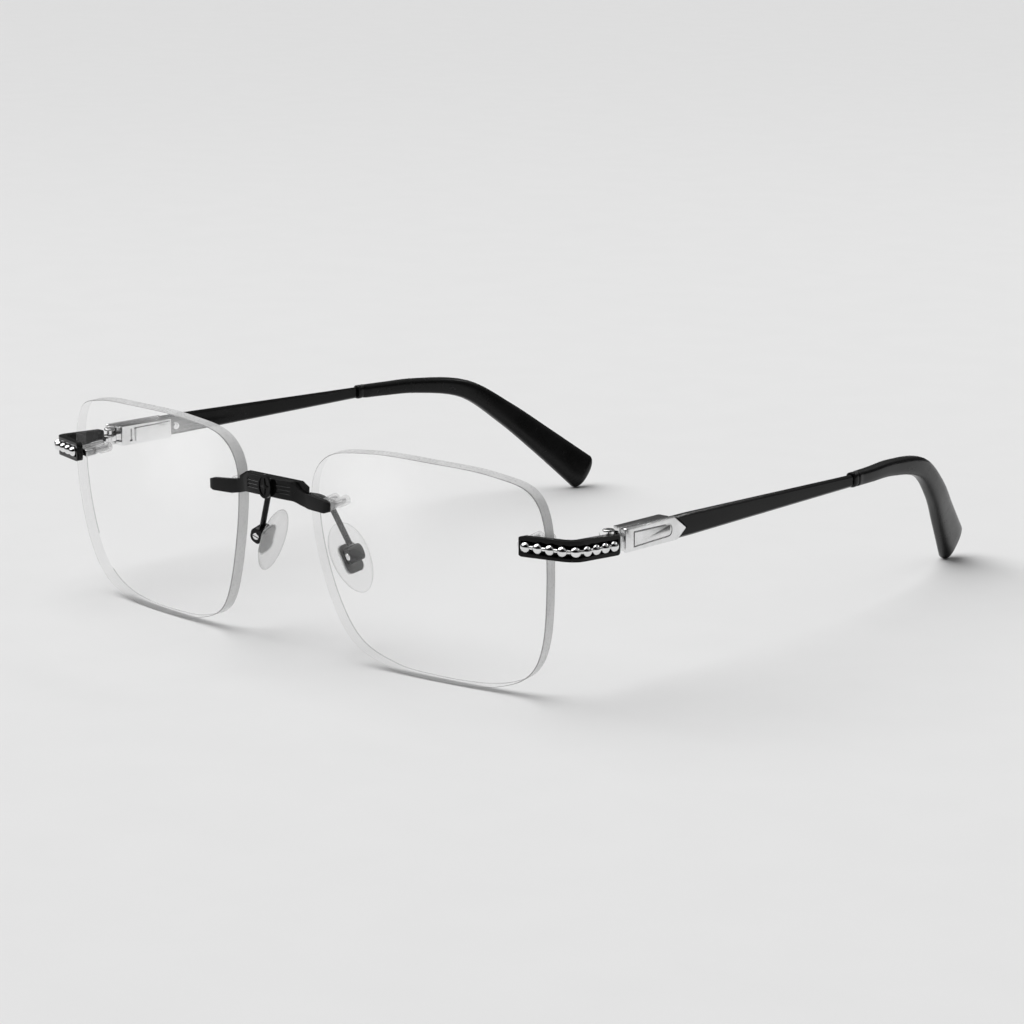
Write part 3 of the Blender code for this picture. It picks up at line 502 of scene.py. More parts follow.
def bushing(middle):
    """A double sleeve behind the lens, with a spigot in each lens hole and a bore for each pin."""
    u, v = middle
    reach = PIN_SPACING / 2 + BUSHING_RADIUS
    start = max(lens_sag(u - reach, v), lens_sag(u + reach, v)) + LENS_THICKNESS + 0.1
    end = lens_sag(u, v) + LENS_THICKNESS + BUSHING_LENGTH
    web = box("web", (u - 0.8, start + 0.15, v - 0.45), (u + 0.8, end - 0.9, v + 0.45))
    for x, z in pin_centres(middle):
        web = fuse(web, bevel(rod("sleeve", (x, start, z), (x, end, z), BUSHING_RADIUS), 0.16, 3, 50))
        web = fuse(web, rod("spigot", (x, start - 1.6, z), (x, start + 0.3, z), SPIGOT_RADIUS, 24))
    for x, z in pin_centres(middle):
        web = cut(web, rod("bore", (x, start - 3, z), (x, end + 3, z), BUSHING_BORE, 24))
    return web


# -------- bridge

def both_sides(half):
    """A closed outline from its half at +x, which starts and ends on the mirror line."""
    return half + [(-x, y) for x, y in reversed(half) if x > 0]


def crossed(name, plan, front):
    """The solid that has one outline from above and the other from the front."""
    profile = prism("profile", front, -4.0, 3.0, FRONT)
    return join_in(prism(name, plan, 29.0, 36.0, PLAN), profile, "INTERSECT")


def bridge():
    """A bar, arched in front view, with a deep reeded centre and an arm over each lens."""
    plan = [
        (0.0, -2.3), (3.2, -2.2), (6.3, -1.85), (7.4, -1.6), (9.5, -1.55), (15.4, -2.3), (16.5, -2.2),
        (BRIDGE_HALF_LENGTH, -1.8), (16.7, -1.44), (16.2, -1.36), (11.0, -0.95), (9.8, -0.75), (9.2, -0.4),
        (0.0, -0.4),
    ]
    front = [
        (0.0, BRIDGE_TOP), (6.3, BRIDGE_TOP - 0.05), (7.0, 34.3), (8.0, 33.45), (9.6, 32.95), (15.6, 32.5),
        (16.5, 32.2), (17.1, 31.25), (16.5, 30.3), (15.6, 30.0), (10.8, 30.0), (8.6, 30.4), (6.6, 30.95),
        (0.0, 31.1),
    ]
    back_plan = [(0.0, -0.9), (9.3, -0.9), (9.8, -0.4), (9.1, 0.4), (0.0, 0.4)]
    back = [
        (0.0, BRIDGE_TOP), (7.4, BRIDGE_TOP), (9.9, 33.3), (10.1, 32.4), (9.4, 31.4), (6.6, 31.2),
        (0.0, 31.3),
    ]
    bar = crossed("bridge", both_sides(plan), both_sides(front))
    bar = fuse(bar, crossed("shoulder", both_sides(back_plan), both_sides(back)))
    bar = bevel(bar, 0.26, 4, 25)
    pitch = 0.72
    for row in range(REED_COUNT - 1):
        z = 33.0 + (row - (REED_COUNT - 2) / 2) * pitch
        for side in (-1, 1):
            start, end = Vector((side * 2.4, -2.4, z)), Vector((side * 6.0, -2.03, z))
            bar = cut(bar, rod("groove", start, end, 0.26, 16))
    well = prism("well", ellipse((0, MEDALLION_Z), 1.45, 1.75, 48), -4.0, -1.6, FRONT)
    return cut(bar, well)


def medallion():
    """An oval boss with a raised rim, a post at its back and a plain four-pointed ornament."""
    boss = prism("medallion", ellipse((0, MEDALLION_Z), MEDALLION_WIDTH / 2, MEDALLION_HEIGHT / 2, 64),
                 -3.15, -2.45, FRONT)
    dish = prism("dish", ellipse((0, MEDALLION_Z), MEDALLION_WIDTH / 2 - 0.4, MEDALLION_HEIGHT / 2 - 0.4, 64),
                 -3.4, -2.93, FRONT)
    boss = bevel(cut(boss, dish), 0.14, 4, 50)
    star = []
    for k in range(8):
        reach = 1.0 if k % 2 == 0 else 0.3
        angle = math.pi * k / 4
        star.append((1.15 * reach * math.cos(angle), MEDALLION_Z + 1.7 * reach * math.sin(angle)))
    boss = fuse(boss, bevel(prism("star", star, -3.12, -2.8, FRONT), 0.07, 2, 60))
    return fuse(boss, prism("post", ellipse((0, MEDALLION_Z), 1.3, 1.6, 40), -2.6, -1.7, FRONT))


# -------- nose pads

def pad_arm():
    """A rod from the back of the bridge, bowed back and down to the pad's box."""
    lower = pad_place() @ Vector((-0.1, 0.0, 2.05))
    route = [(6.6, 0.75, 31.9), (6.9, 2.4, 31.5), (7.5, 4.6, 30.9), (8.2, 5.9, 30.0), (8.9, 6.4, 28.8)]
    return tube("pad_arm", smooth_curve(route, 9) + [lower], PAD_ARM_RADIUS, 7)


def pad_box():
    """A rounded holder, slotted towards the pad for the insert's tongue."""
    outline = rounded([(-1.15, -1.6, 0.7), (1.35, -1.45, 1.3), (1.35, 1.7, 1.3), (-1.15, 1.85, 0.7)])
    holder = prism("pad_box", outline, -1.55, 1.55, PAD_PLAN)
    holder = bevel(holder, 0.8, 6, 50)
    slot = box("slot", (-2, -0.6, -1.25), (1.05, 0.6, 1.3))
    bore = rod("bore", (0, -3, 0), (0, 3, 0), PAD_BORE)
    sink = rod("sink", (0, -3, 0), (0, -1.25, 0), 0.85)
    return cut(holder, slot, bore, sink)


def pad_insert():
    """A stiff plate moulded into the pad, with a drilled tongue for the box's screw."""
    back = -PAD_PIVOT.x + 0.72
    outline = [(a, b - PAD_PIVOT.z) for a, b in rounded_box(2.0, 3.0, 1.2)]
    plate = bevel(prism("plate", outline, back, back + 0.55, SIDE), 0.12, 3, 50)
    tongue = box("tongue", (back + 0.3, -0.45, -0.95), (0.2, 0.45, 0.95))
    eye = rod("eye", (0, -0.45, 0), (0, 0.45, 0), 0.95)
    bore = rod("bore", (0, -3, 0), (0, 3, 0), PAD_BORE)
    return cut(fuse(plate, tongue, eye), bore)


def pad_screw():
    shank = rod("shank", (0, -1.2, 0), (0, 1.5, 0), SCREW_RADIUS)
    head = bevel(rod("head", (0, -1.7, 0), (0, -1.28, 0), 0.75), 0.12, 3, 50)
    neck = rod("neck", (0, -1.4, 0), (0, -1.0, 0), SCREW_RADIUS)
    slot = box("slot", (-1, -1.8, -0.13), (1, -1.55, 0.13))
    return cut(fuse(shank, neck, head), slot)


def nose_pad():
    """A flattened oval pad whose bearing face levels out softly, with a pocket for its insert."""
    half = Vector(PAD_SIZE)
    centre = -PAD_PIVOT
    soft = 0.35

    def fill(bm):
        bmesh.ops.create_uvsphere(bm, u_segments=64, v_segments=40, radius=1.0)
        bmesh.ops.rotate(bm, matrix=Matrix.Rotation(math.pi / 2, 3, "Y"), verts=bm.verts)
        for vert in bm.verts:
            widen = 1.0 + 0.08 * vert.co.z
            depth = vert.co.x * half.x
            over = -depth - (PAD_FACE - soft)
            if over > 0:
                depth = -(PAD_FACE - soft * math.exp(-over / soft))
            vert.co = (depth, vert.co.y * half.y * widen, vert.co.z * half.z)
        bmesh.ops.translate(bm, vec=centre, verts=bm.verts)
    pad = object_from("nose_pad", fill)
    outline = [(a, b + centre.z) for a, b in rounded_box(2.15, 3.15, 1.3)]
    return cut(pad, prism("pocket", outline, centre.x + 0.6, centre.x + 4, SIDE))


# -------- endpieces

def endpiece_path(offset=0.0, steps=16):
    """The plan centreline, moved outwards by offset: two straight legs and the bend between them."""
    first = (ENDPIECE_INNER - ENDPIECE_CORNER).normalized()
    second = (ENDPIECE_REAR - ENDPIECE_CORNER).normalized()
    half = first.angle(second) / 2
    centre = ENDPIECE_CORNER + (first + second).normalized() * ENDPIECE_BEND_RADIUS / math.sin(half)
    reach = ENDPIECE_BEND_RADIUS / math.tan(half)
    start = ENDPIECE_CORNER + first * reach - centre
    sweep = start.angle_signed(ENDPIECE_CORNER + second * reach - centre)
    out_first = Vector((-first.y, first.x))
    out_second = Vector((second.y, -second.x))
    points = [ENDPIECE_INNER + out_first * offset]
    scale = (ENDPIECE_BEND_RADIUS + offset) / ENDPIECE_BEND_RADIUS
    for k in range(steps + 1):
        points.append(centre + Matrix.Rotation(-sweep * k / steps, 2) @ (start * scale))
    points.append(ENDPIECE_REAR + out_second * offset)
    return points


def path_length(points):
    return sum((b - a).length for a, b in zip(points, points[1:]))


def path_point(points, distance):
    for a, b in zip(points, points[1:]):
        length = (b - a).length
        if distance <= length:
            return a + (b - a) * distance / length
        distance -= length
    return points[-1]


def part_of_path(points, start, end):
    """The stretch of a path between two distances along it."""
    walked = 0.0
    kept = [path_point(points, start)]
    for a, b in zip(points, points[1:]):
        walked += (b - a).length
        if start < walked < end:
            kept.append(b)
    kept.append(path_point(points, end))
    return kept


def endpiece_z(x, y):
    rise_x, rise_y = ENDPIECE_RISE
    return ENDPIECE_Z + rise_x * (x - ENDPIECE_CORNER.x) + rise_y * (y - ENDPIECE_CORNER.y)


def raise_endpiece(obj):
    """Shear a level piece so that it follows the endpiece's rise."""
    shear = Matrix.Identity(4)
    shear[2][0], shear[2][1] = ENDPIECE_RISE
    shear[2][3] = endpiece_z(0, 0)
    return moved(obj, shear)


def endpiece():
    """A bar bent round the lens's corner, thinner over the lens, with a channel for the beads."""
    outer = endpiece_path(0.95)
    inner = endpiece_path(-0.95)
    inner[0] = endpiece_path(-0.45)[0]
    inner[1] = endpiece_path(-0.75)[1]
    bar = prism("endpiece", outer + inner[::-1], -ENDPIECE_HALF_HEIGHT, ENDPIECE_HALF_HEIGHT)
    tall, inner_end, rear_end = ENDPIECE_HALF_HEIGHT, ENDPIECE_INNER.x, ENDPIECE_REAR.y
    front_view = rounded([(inner_end, -tall, 1.0), (99, -tall, 0), (99, tall, 0), (inner_end, tall, 1.0)])
    side_view = rounded([(-9, -tall, 0), (rear_end, -tall, 0.7), (rear_end, tall, 0.7), (-9, tall, 0)])
    bar = join_in(bar, prism("front_view", front_view, -9, 40, FRONT), "INTERSECT")
    bar = join_in(bar, prism("side_view", side_view, 0, 99, SIDE), "INTERSECT")
    bar = bevel(bar, 0.42, 5, 50)
    far, near = [part_of_path(path, CHANNEL_END, path_length(path) - CHANNEL_REAR_END)
                 for path in (endpiece_path(2.0), endpiece_path(0.0))]
    channel = prism("channel", far + near[::-1], -CHANNEL_HALF_HEIGHT, CHANNEL_HALF_HEIGHT)
    relief = rod("relief", (HINGE.x, HINGE.y, -9), (HINGE.x, HINGE.y, 9), KNUCKLE_RADIUS + 0.15, 48)
    return raise_endpiece(bevel(cut(bar, channel, relief), 0.07, 2, 60))


def bead_strip():
    """Beads on a common strand, lying in the endpiece's channel."""
    path = endpiece_path(BEAD_LINE)
    pitch = (path_length(path) - BEAD_END_GAP - BEAD_START) / (BEAD_COUNT - 1)
    latitudes = [math.radians(67.0 * k / 7) for k in range(-7, 8)]
    points, radii = [], []
    for bead in range(BEAD_COUNT):
        for latitude in latitudes:
            spot = path_point(path, BEAD_START + pitch * bead + math.sin(latitude) * BEAD_RADIUS)
            points.append((spot.x, spot.y, 0))
            radii.append(math.cos(latitude))
    return raise_endpiece(tube("bead_strip", points, BEAD_RADIUS, 6, radii))


# -------- hinges, from the hinge axis

def hinge_leaf():
    """The front half of the hinge: a block inside the endpiece with a knuckle above and one below."""
    low, mid_low, mid_high, high = KNUCKLE_SPLIT
    block = rounded([(-1.35, -5.4, 0.5), (0.82, -5.4, 0.2), (0.82, -1.2, 0), (-1.35, -1.2, 0)])
    leaf = prism("hinge_leaf", block, low, high)
    leaf = fuse(leaf, box("plate", (0.3, -8.8, low + 0.25), (0.82, -5.0, high - 0.25)))
    leaf = fuse(leaf, rod("knuckle", (0, 0, low), (0, 0, high), KNUCKLE_RADIUS, 48))
    leaf = bevel(leaf, 0.14, 3, 50)
    clear = rod("gap", (0, 0, mid_low), (0, 0, mid_high), KNUCKLE_RADIUS + 0.25, 48)
    clear = fuse(clear, box("gap_back", (-3, 0, mid_low), (3, 3, mid_high)))
    return cut(leaf, clear, rod("bore", (0, 0, -5), (0, 0, 5), HINGE_BORE))


def hinge_screw():
    low, high = KNUCKLE_SPLIT[0], KNUCKLE_SPLIT[3]
    screw = rod("shank", (0, 0, low - 0.1), (0, 0, high + 0.2), SCREW_RADIUS)
    head = bevel(rod("head", (0, 0, high + 0.06), (0, 0, high + 0.48), 1.2, 48, 1.08), 0.12, 3, 50)
    return cut(fuse(screw, head), box("slot", (-2, -0.15, high + 0.25), (2, 0.15, high + 1)))


def hinge_slider():
    """The temple's knuckle on a carriage, with a rod that runs through the spring."""
    low, high = KNUCKLE_SPLIT[1] + 0.08, KNUCKLE_SPLIT[2] - 0.08
    knuckle = bevel(rod("knuckle", (0, 0, low), (0, 0, high), KNUCKLE_RADIUS - 0.05, 48), 0.08, 3, 50)
    slider = fuse(knuckle, box("neck", (-0.75, 0, low), (0.75, 3.4, high)))
    slider = fuse(slider, box("carriage", (-0.75, 3.3, -1.15), (0.75, 5.35, 1.15)))
    slider = fuse(slider, rod("rod", (0, 5.3, 0), (0, 13.6, 0), 0.36, 20))
    return cut(slider, rod("bore", (0, 0, -5), (0, 0, 5), HINGE_BORE))


def spring_housing():
    """A case on the temple's inner side that the slider runs in, open under its cover."""
    outline = rounded([(-1.1, HOUSING_START, 0.25), (1.25, HOUSING_START, 0),
                       (1.25, HOUSING_END, 0), (-1.1, HOUSING_END, 0.25)])
    case = bevel(prism("spring_housing", outline, -2.05, 2.05), 0.25, 4, 50)
    guide = box("guide", (-0.85, 0, -1.3), (0.85, 5.45, 1.3))
    passage = rod("passage", (0, 5, 0), (0, 7.5, 0), 0.5, 24)
    pocket = box("pocket", (-2, 6.65, -1.1), (0.95, 15.3, 1.1))
    window = box("window", (-2, 4.6, -1.35), (-0.8, 5.3, 1.35))
    return drop(cut(case, guide, passage, pocket, window))


def spring_cover():
    outline = rounded([(6.1, -1.55, 0.3), (15.5, -1.6, 0.3), (15.5, 1.6, 0.3), (6.1, 1.45, 0.3)])
    return drop(bevel(prism("spring_cover", outline, -1.5, -1.16, SIDE), 0.14, 4, 50))


# -------- temples, from the hinge axis

def drop(obj):
    """Shear a level piece so that it follows the temple's fall towards the ear."""
    shear = Matrix.Identity(4)
    shear[2][1] = -TEMPLE_DROP
    return moved(obj, shear)


def arrow(grow):
    """The ferrule's side outline, ending in a point, made larger all round by grow."""
    front, half = FERRULE_START - grow, FERRULE_HALF_HEIGHT + grow
    return [
        (front, -half), (FERRULE_SHOULDER + 0.8, -half), (FERRULE_TIP + grow * 1.5, -0.35),
        (FERRULE_SHOULDER + grow, half), (front, half),
    ]


def ferrule():
    """A silver cap over the front of the arm, with a slot for its inlay."""
    outer, split, inner = ARM_X + 0.9, ARM_X + 0.05, ARM_X - 0.85
    shell = bevel(prism("ferrule", arrow(0), split, outer, SIDE), 0.3, 5, 40)
    wall = FERRULE_HALF_HEIGHT - 0.25
    back = box("back", (inner, FERRULE_START + 0.08, -wall), (split + 0.3, FERRULE_SHOULDER - 0.5, wall))
    pocket = box("pocket", (inner - 1, FERRULE_START + 0.75, -1.5), (split + 0.04, FERRULE_TIP + 3, 1.5))
    slot = prism("slot", rounded([(3.5, -1.62, 0.1), (15.0, -1.25, 1.2), (15.0, 1.25, 1.2), (3.5, 1.5, 0.1)]),
                 outer - 0.5, outer + 1, SIDE)
    return drop(cut(fuse(shell, back), pocket, slot))


def ferrule_inlay():
    outline = rounded([(3.75, -1.3, 0.1), (14.7, -0.95, 0.92), (14.7, 0.95, 0.92), (3.75, 1.2, 0.1)])
    return drop(bevel(prism("ferrule_inlay", outline, ARM_X + 0.46, ARM_X + 0.95, SIDE), 0.2, 5, 60))


def path_frames(points):
    """At each point: the way along, the way outwards and the way up."""
    frames = []
    for i, point in enumerate(points):
        ahead = points[min(i + 1, len(points) - 1)] - points[max(i - 1, 0)]
        ahead.normalize()
        side = (Vector((1, 0, 0)) - ahead * ahead.x).normalized()
        frames.append((point, side, side.cross(ahead)))
    return frames


def chamfered_section(half_x, half_z, chamfer, soft=0.0):
    """An upright bar's section with its corners cut off, and the new corners softened."""
    a, b, c = half_x, half_z, chamfer
    corners = [
        (a, -b + c), (a, b - c), (a - c, b), (-a + c, b),
        (-a, b - c), (-a, -b + c), (-a + c, -b), (a - c, -b),
    ]
    return rounded([(x, y, soft) for x, y in corners], 3) if soft else corners


def superellipse_section(half_x, half_z, power, sides):
    section = []
    for k in range(sides):
        angle = 2 * math.pi * (k + 0.5) / sides
        c, s = math.cos(angle), math.sin(angle)
        section.append((half_x * math.copysign(abs(c) ** (2 / power), c),
                        half_z * math.copysign(abs(s) ** (2 / power), s)))
    return section


def ring_at(place, section):
    point, side, up = place
    return [point + side * a + up * b for a, b in section]


def further_back(place, distance):
    point, side, up = place
    return point + Vector((0, distance, 0)), side, up


def tip_curve(per_span):
    return smooth_curve([(x, y, z - HINGE_Z) for x, y, z in TIP_PATH], per_span)


def plate_outline(grow):
    """The inner plate's side outline, with a slanting rear end, made larger all round by grow."""
    front, half = FERRULE_SHOULDER + 0.35 - grow, 1.7 + grow
    return [(front, -half), (29.6 + grow * 3, -half), (21.8 + grow * 3, half), (front, half)]


def temple_arm():
    """The lacquered bar, which is thinned under the ferrule and runs on inside the tip as a core."""
    rings = []
    end = ARM_END - 0.2
    for y in (ARM_START, ARM_TAPER_START, (ARM_TAPER_START + end) / 2, end):
        t = (y - ARM_START) / (end - ARM_START)
        taper = max(0.0, (y - ARM_TAPER_START) / (end - ARM_TAPER_START))
        half_x = ARM_HALF_THICKNESS[0] * (1 - t) + ARM_HALF_THICKNESS[1] * t
        half_z = ARM_HALF_HEIGHT[0] * (1 - taper) + ARM_HALF_HEIGHT[1] * taper
        middle = (Vector((ARM_X, y, -TEMPLE_DROP * y)), Vector((1, 0, 0)), Vector((0, 0, 1)))
        rings.append(ring_at(middle, chamfered_section(half_x, half_z, 0.42, 0.1)))
    core = path_frames(tip_curve(2))[:9]
    for index, place in enumerate([further_back(core[0], -0.15)] + core[1:]):
        rings.append(ring_at(place, chamfered_section(0.45, 0.8 - 0.02 * index, 0.2, 0.05)))
    arm = loft("temple_arm", rings)
    under_cap = prism("under_cap", arrow(0.08), ARM_X - 0.02, ARM_X + 3, SIDE)
    above = box("above", (-3, 0, 1.4), (5, FERRULE_SHOULDER - 0.4, 5))
    below = box("below", (-3, 0, -5), (5, FERRULE_SHOULDER - 0.4, -1.4))
    seat = prism("seat", plate_outline(0.06), 0, ARM_X - 0.4, SIDE)
    hole = rod("hole", (0, *RIVET), (ARM_X + 0.04, *RIVET), RIVET_HOLE)
    return cut(arm, *[drop(cutter) for cutter in (under_cap, above, below, seat, hole)])


def temple_plate():
    """A grey metal plate let into the inner side of the arm behind the spring housing."""
    plate = bevel(prism("temple_plate", plate_outline(0), ARM_X - 0.82, ARM_X - 0.42, SIDE), 0.05, 2, 50)
    return drop(cut(plate, rod("hole", (0, *RIVET), (ARM_X, *RIVET), RIVET_HOLE)))


def temple_rivet():
    shank = rod("shank", (ARM_X - 0.85, *RIVET), (ARM_X, *RIVET), RIVET_RADIUS)
    head = rod("head", (ARM_X - 1.05, *RIVET), (ARM_X - 0.83, *RIVET), 0.72, 32, 0.85)
    return drop(fuse(shank, bevel(head, 0.08, 3, 40)))


def temple_tip():
    """A moulded end piece: a slim sleeve that widens and bends down into a flat paddle."""
    points = tip_curve(6)
    frames = path_frames(points)
    length = path_length(points)
    rings, walked = [], 0.0
    collar = [(0.0, 0.88), (0.07, 0.96), (0.2, 1.0), (1.15, 1.0), (1.3, 0.97), (1.42, 0.9), (1.62, 0.9),
              (1.74, 0.97), (1.9, 1.0)]
    for i, place in enumerate(frames):
        if i:
            walked += (points[i] - points[i - 1]).length
        t = walked / length
        half_x = 1.15 + 0.5 * math.sin(math.pi / 2 * min(1.0, t / 0.75))
        half_z = 1.52 + 2.85 * t ** 1.9
        if i == 0:
            for step, shrink in collar:
                section = superellipse_section(half_x * shrink, half_z * shrink, 3.0, 48)
                rings.append(ring_at(further_back(place, step), section))
        elif walked > collar[-1][0]:
            rings.append(ring_at(place, superellipse_section(half_x, half_z, 3.0, 48)))
    last_point, side, up = frames[-1]
    ahead = up.cross(side)
    for k in range(1, 9):
        angle = math.pi / 2 * k / 8.6
        end = (last_point + ahead * 2.0 * math.sin(angle), side, up)
        shrink = math.cos(angle)
        rings.append(ring_at(end, superellipse_section(half_x * shrink, half_z * shrink, 2.8, 48)))
    tip = loft("temple_tip", rings)
    core = path_frames(tip_curve(2))[:10]
    opening = chamfered_section(0.62, 0.97, 0.2)
    return cut(tip, loft("bore", [ring_at(place, opening) for place in [further_back(core[0], -1)] + core]))


# -------- finishes

def grey(tone):
    return (tone, tone, tone, 1.0)


def new_finish(name, tone, roughness, metallic=0.0):
    made = bpy.data.materials.new(name)
    made.use_nodes = True
    shader = made.node_tree.nodes["Principled BSDF"]
    shader.inputs["Base Color"].default_value = grey(tone)
    shader.inputs["Roughness"].default_value = roughness
    shader.inputs["Metallic"].default_value = metallic
    return made, made.node_tree, shader


def grain(tree, scale, stretch=(1, 1, 1), detail=3.0):
    """Noise in the object's own coordinates, scale to the metre, stretched along an axis."""
    coordinates = tree.nodes.new("ShaderNodeTexCoord")
    mapping = tree.nodes.new("ShaderNodeMapping")
    mapping.inputs["Scale"].default_value = stretch
    noise = tree.nodes.new("ShaderNodeTexNoise")
    noise.inputs["Scale"].default_value = scale
    noise.inputs["Detail"].default_value = detail
    tree.links.new(coordinates.outputs["Object"], mapping.inputs["Vector"])
    tree.links.new(mapping.outputs["Vector"], noise.inputs["Vector"])
    return noise.outputs["Fac"]


def spread(tree, source, low, high, socket, start=0.3, end=0.7):
    """Drive a socket between low and high as source goes from start to end."""
    ranged = tree.nodes.new("ShaderNodeMapRange")
    ranged.inputs["From Min"].default_value = start
    ranged.inputs["From Max"].default_value = end
    ranged.inputs["To Min"].default_value = low
    ranged.inputs["To Max"].default_value = high
    tree.links.new(source, ranged.inputs["Value"])
    tree.links.new(ranged.outputs["Result"], socket)
    return ranged


def tint(tree, source, low, high, shader):
    ramp = tree.nodes.new("ShaderNodeValToRGB")
    ramp.color_ramp.elements[0].position = 0.35
    ramp.color_ramp.elements[0].color = low
    ramp.color_ramp.elements[1].position = 0.65
    ramp.color_ramp.elements[1].color = high
    tree.links.new(source, ramp.inputs["Fac"])
    tree.links.new(ramp.outputs["Color"], shader.inputs["Base Color"])


def relief(tree, source, strength, depth, shader):
    bump = tree.nodes.new("ShaderNodeBump")
    bump.inputs["Strength"].default_value = strength
    bump.inputs["Distance"].default_value = depth
    tree.links.new(source, bump.inputs["Height"])
    tree.links.new(bump.outputs["Normal"], shader.inputs["Normal"])


# Painted light: a white emission, which makes a surface glow though it is no lamp.
def glow(shader, strength):
    shader.inputs["Emission Color"].default_value = grey(1.0)
    shader.inputs["Emission Strength"].default_value = strength


def black_lacquer():
    """Hard black lacquer over metal: a deep, wet gloss."""
    made, tree, shader = new_finish("gloss_lacquer", 0.004, 0.13)
    shader.inputs["Specular IOR Level"].default_value = 0.16
    tint(tree, grain(tree, 260), grey(0.003), grey(0.006), shader)
    spread(tree, grain(tree, 700), 0.10, 0.17, shader.inputs["Roughness"])
    relief(tree, grain(tree, 1500, detail=2.0), 0.04, 0.00004, shader)
    return made


def black_acetate():
    """Moulded black plastic with a soft gloss."""
    made, tree, shader = new_finish("moulded_tip", 0.006, 0.2)
    shader.inputs["Specular IOR Level"].default_value = 0.2
    tint(tree, grain(tree, 180), grey(0.005), grey(0.008), shader)
    spread(tree, grain(tree, 500), 0.2, 0.28, shader.inputs["Roughness"])
    relief(tree, grain(tree, 900, detail=4.0), 0.05, 0.00005, shader)
    return made


def silver(name="plated_silver", tone=0.84, rough=(0.09, 0.19)):
    """Bright plated metal with fine polishing marks along the temple."""
    made, tree, shader = new_finish(name, tone, rough[0], 1.0)
    low, high = tone * 0.93, min(1.0, tone * 1.05)
    tint(tree, grain(tree, 420), grey(low), (high, high, high * 1.005, 1.0), shader)
    spread(tree, grain(tree, 2600, (1, 0.06, 1), 4.0), rough[0], rough[1], shader.inputs["Roughness"])
    relief(tree, grain(tree, 3200, (1, 0.05, 1), 4.0), 0.05, 0.00002, shader)
    return made


def satin_grey(name, low, high):
    """Brushed grey metal."""
    made, tree, shader = new_finish(name, high, 0.4, 1.0)
    tint(tree, grain(tree, 2400, (1, 0.05, 1), 5.0), grey(low), grey(high), shader)
    spread(tree, grain(tree, 3000, (1, 0.04, 1), 4.0), 0.32, 0.48, shader.inputs["Roughness"])
    relief(tree, grain(tree, 3600, (1, 0.04, 1), 4.0), 0.12, 0.00003, shader)
    return made


def lens_clear():
    """Clear lens plastic that glows faintly with painted light, and a painted white glow that makes the lens
    more opaque, and so whiter, in the upper part towards the nose.
    """
    made, tree, shader = new_finish("lens_clear", 1.0, 0.0)
    # Painted light: the whole lens emits a faint white glow.
    glow(shader, 0.3)
    # Painted glow: the lens is more opaque, and so whiter, around a point high towards the nose.
    coordinates = tree.nodes.new("ShaderNodeTexCoord")
    mirrored = tree.nodes.new("ShaderNodeVectorMath")
    mirrored.operation = "ABSOLUTE"
    tree.links.new(coordinates.outputs["Object"], mirrored.inputs[0])
    offset = tree.nodes.new("ShaderNodeMapping")
    offset.inputs["Location"].default_value = [-a * b for a, b in zip(PAINTED_GLOW_CENTRE, PAINTED_GLOW_SCALE)]
    offset.inputs["Scale"].default_value = PAINTED_GLOW_SCALE
    tree.links.new(mirrored.outputs["Vector"], offset.inputs["Vector"])
    distance = tree.nodes.new("ShaderNodeVectorMath")
    distance.operation = "LENGTH"
    tree.links.new(offset.outputs["Vector"], distance.inputs[0])
    fade = spread(tree, distance.outputs["Value"], PAINTED_GLOW_ALPHA, LENS_ALPHA, shader.inputs["Alpha"], 0.0, 1.0)
    fade.interpolation_type = "SMOOTHERSTEP"
    return made


def lens_edge(name, low, high, seen_inside):
    """The lens's fine-ground edge, pale from outside and faint where it is seen through the lens, with a
    faint painted glow of its own.
    """
    made, tree, shader = new_finish(name, high, 0.3)
    # Painted light: the edge and the rim glow faintly.
    glow(shader, 0.08)
    geometry = tree.nodes.new("ShaderNodeNewGeometry")
    spread(tree, geometry.outputs["Backfacing"], 0.85, seen_inside, shader.inputs["Alpha"], 0.0, 1.0)
    tint(tree, grain(tree, 260, (1, 1, 0.3)), grey(low), grey(high), shader)
    spread(tree, grain(tree, 2200), 0.22, 0.4, shader.inputs["Roughness"])
    return made


def soft_clear(name, tone, clearness, outline):
    """Clear silicone: almost invisible where it is seen square on, and paler towards its outline, where a
    painted sheen stands in for the light that the silicone reflects there.
    """
    made, tree, shader = new_finish(name, tone, 0.08)
    shader.inputs["IOR"].default_value = 1.41
    weight = tree.nodes.new("ShaderNodeLayerWeight")
    weight.inputs["Blend"].default_value = 0.35
    # Painted sheen: the grey base shows more towards the outline, as reflected light would.
    spread(tree, weight.outputs["Facing"], clearness, outline, shader.inputs["Alpha"], 0.25, 0.95)
    spread(tree, grain(tree, 600), 0.05, 0.12, shader.inputs["Roughness"])
    return made


def floor_paper():
    """Matt pale paper."""
    made, tree, shader = new_finish("studio_paper", FLOOR_TONE, 0.9)
    low, high = FLOOR_TONE * 0.995, FLOOR_TONE * 1.005
    tint(tree, grain(tree, 60), grey(low), grey(high), shader)
    shader.inputs["Specular IOR Level"].default_value = 0.05
    return made


# -------- standing in for the CAD nodes

def body_with(node):
    bodies = frame["record"]["behaviour"]["bodies"]
    return next(body for body, nodes in bodies.items() if node in nodes)


def merge_flat(mesh):
    """Join the triangles of each flat face, so that it is shaded as one plane."""
    bm = bmesh.new()
    bm.from_mesh(mesh)
    bmesh.ops.dissolve_limit(bm, angle_limit=math.radians(0.05), verts=bm.verts, edges=bm.edges)
    bm.to_mesh(mesh)
    bm.free()


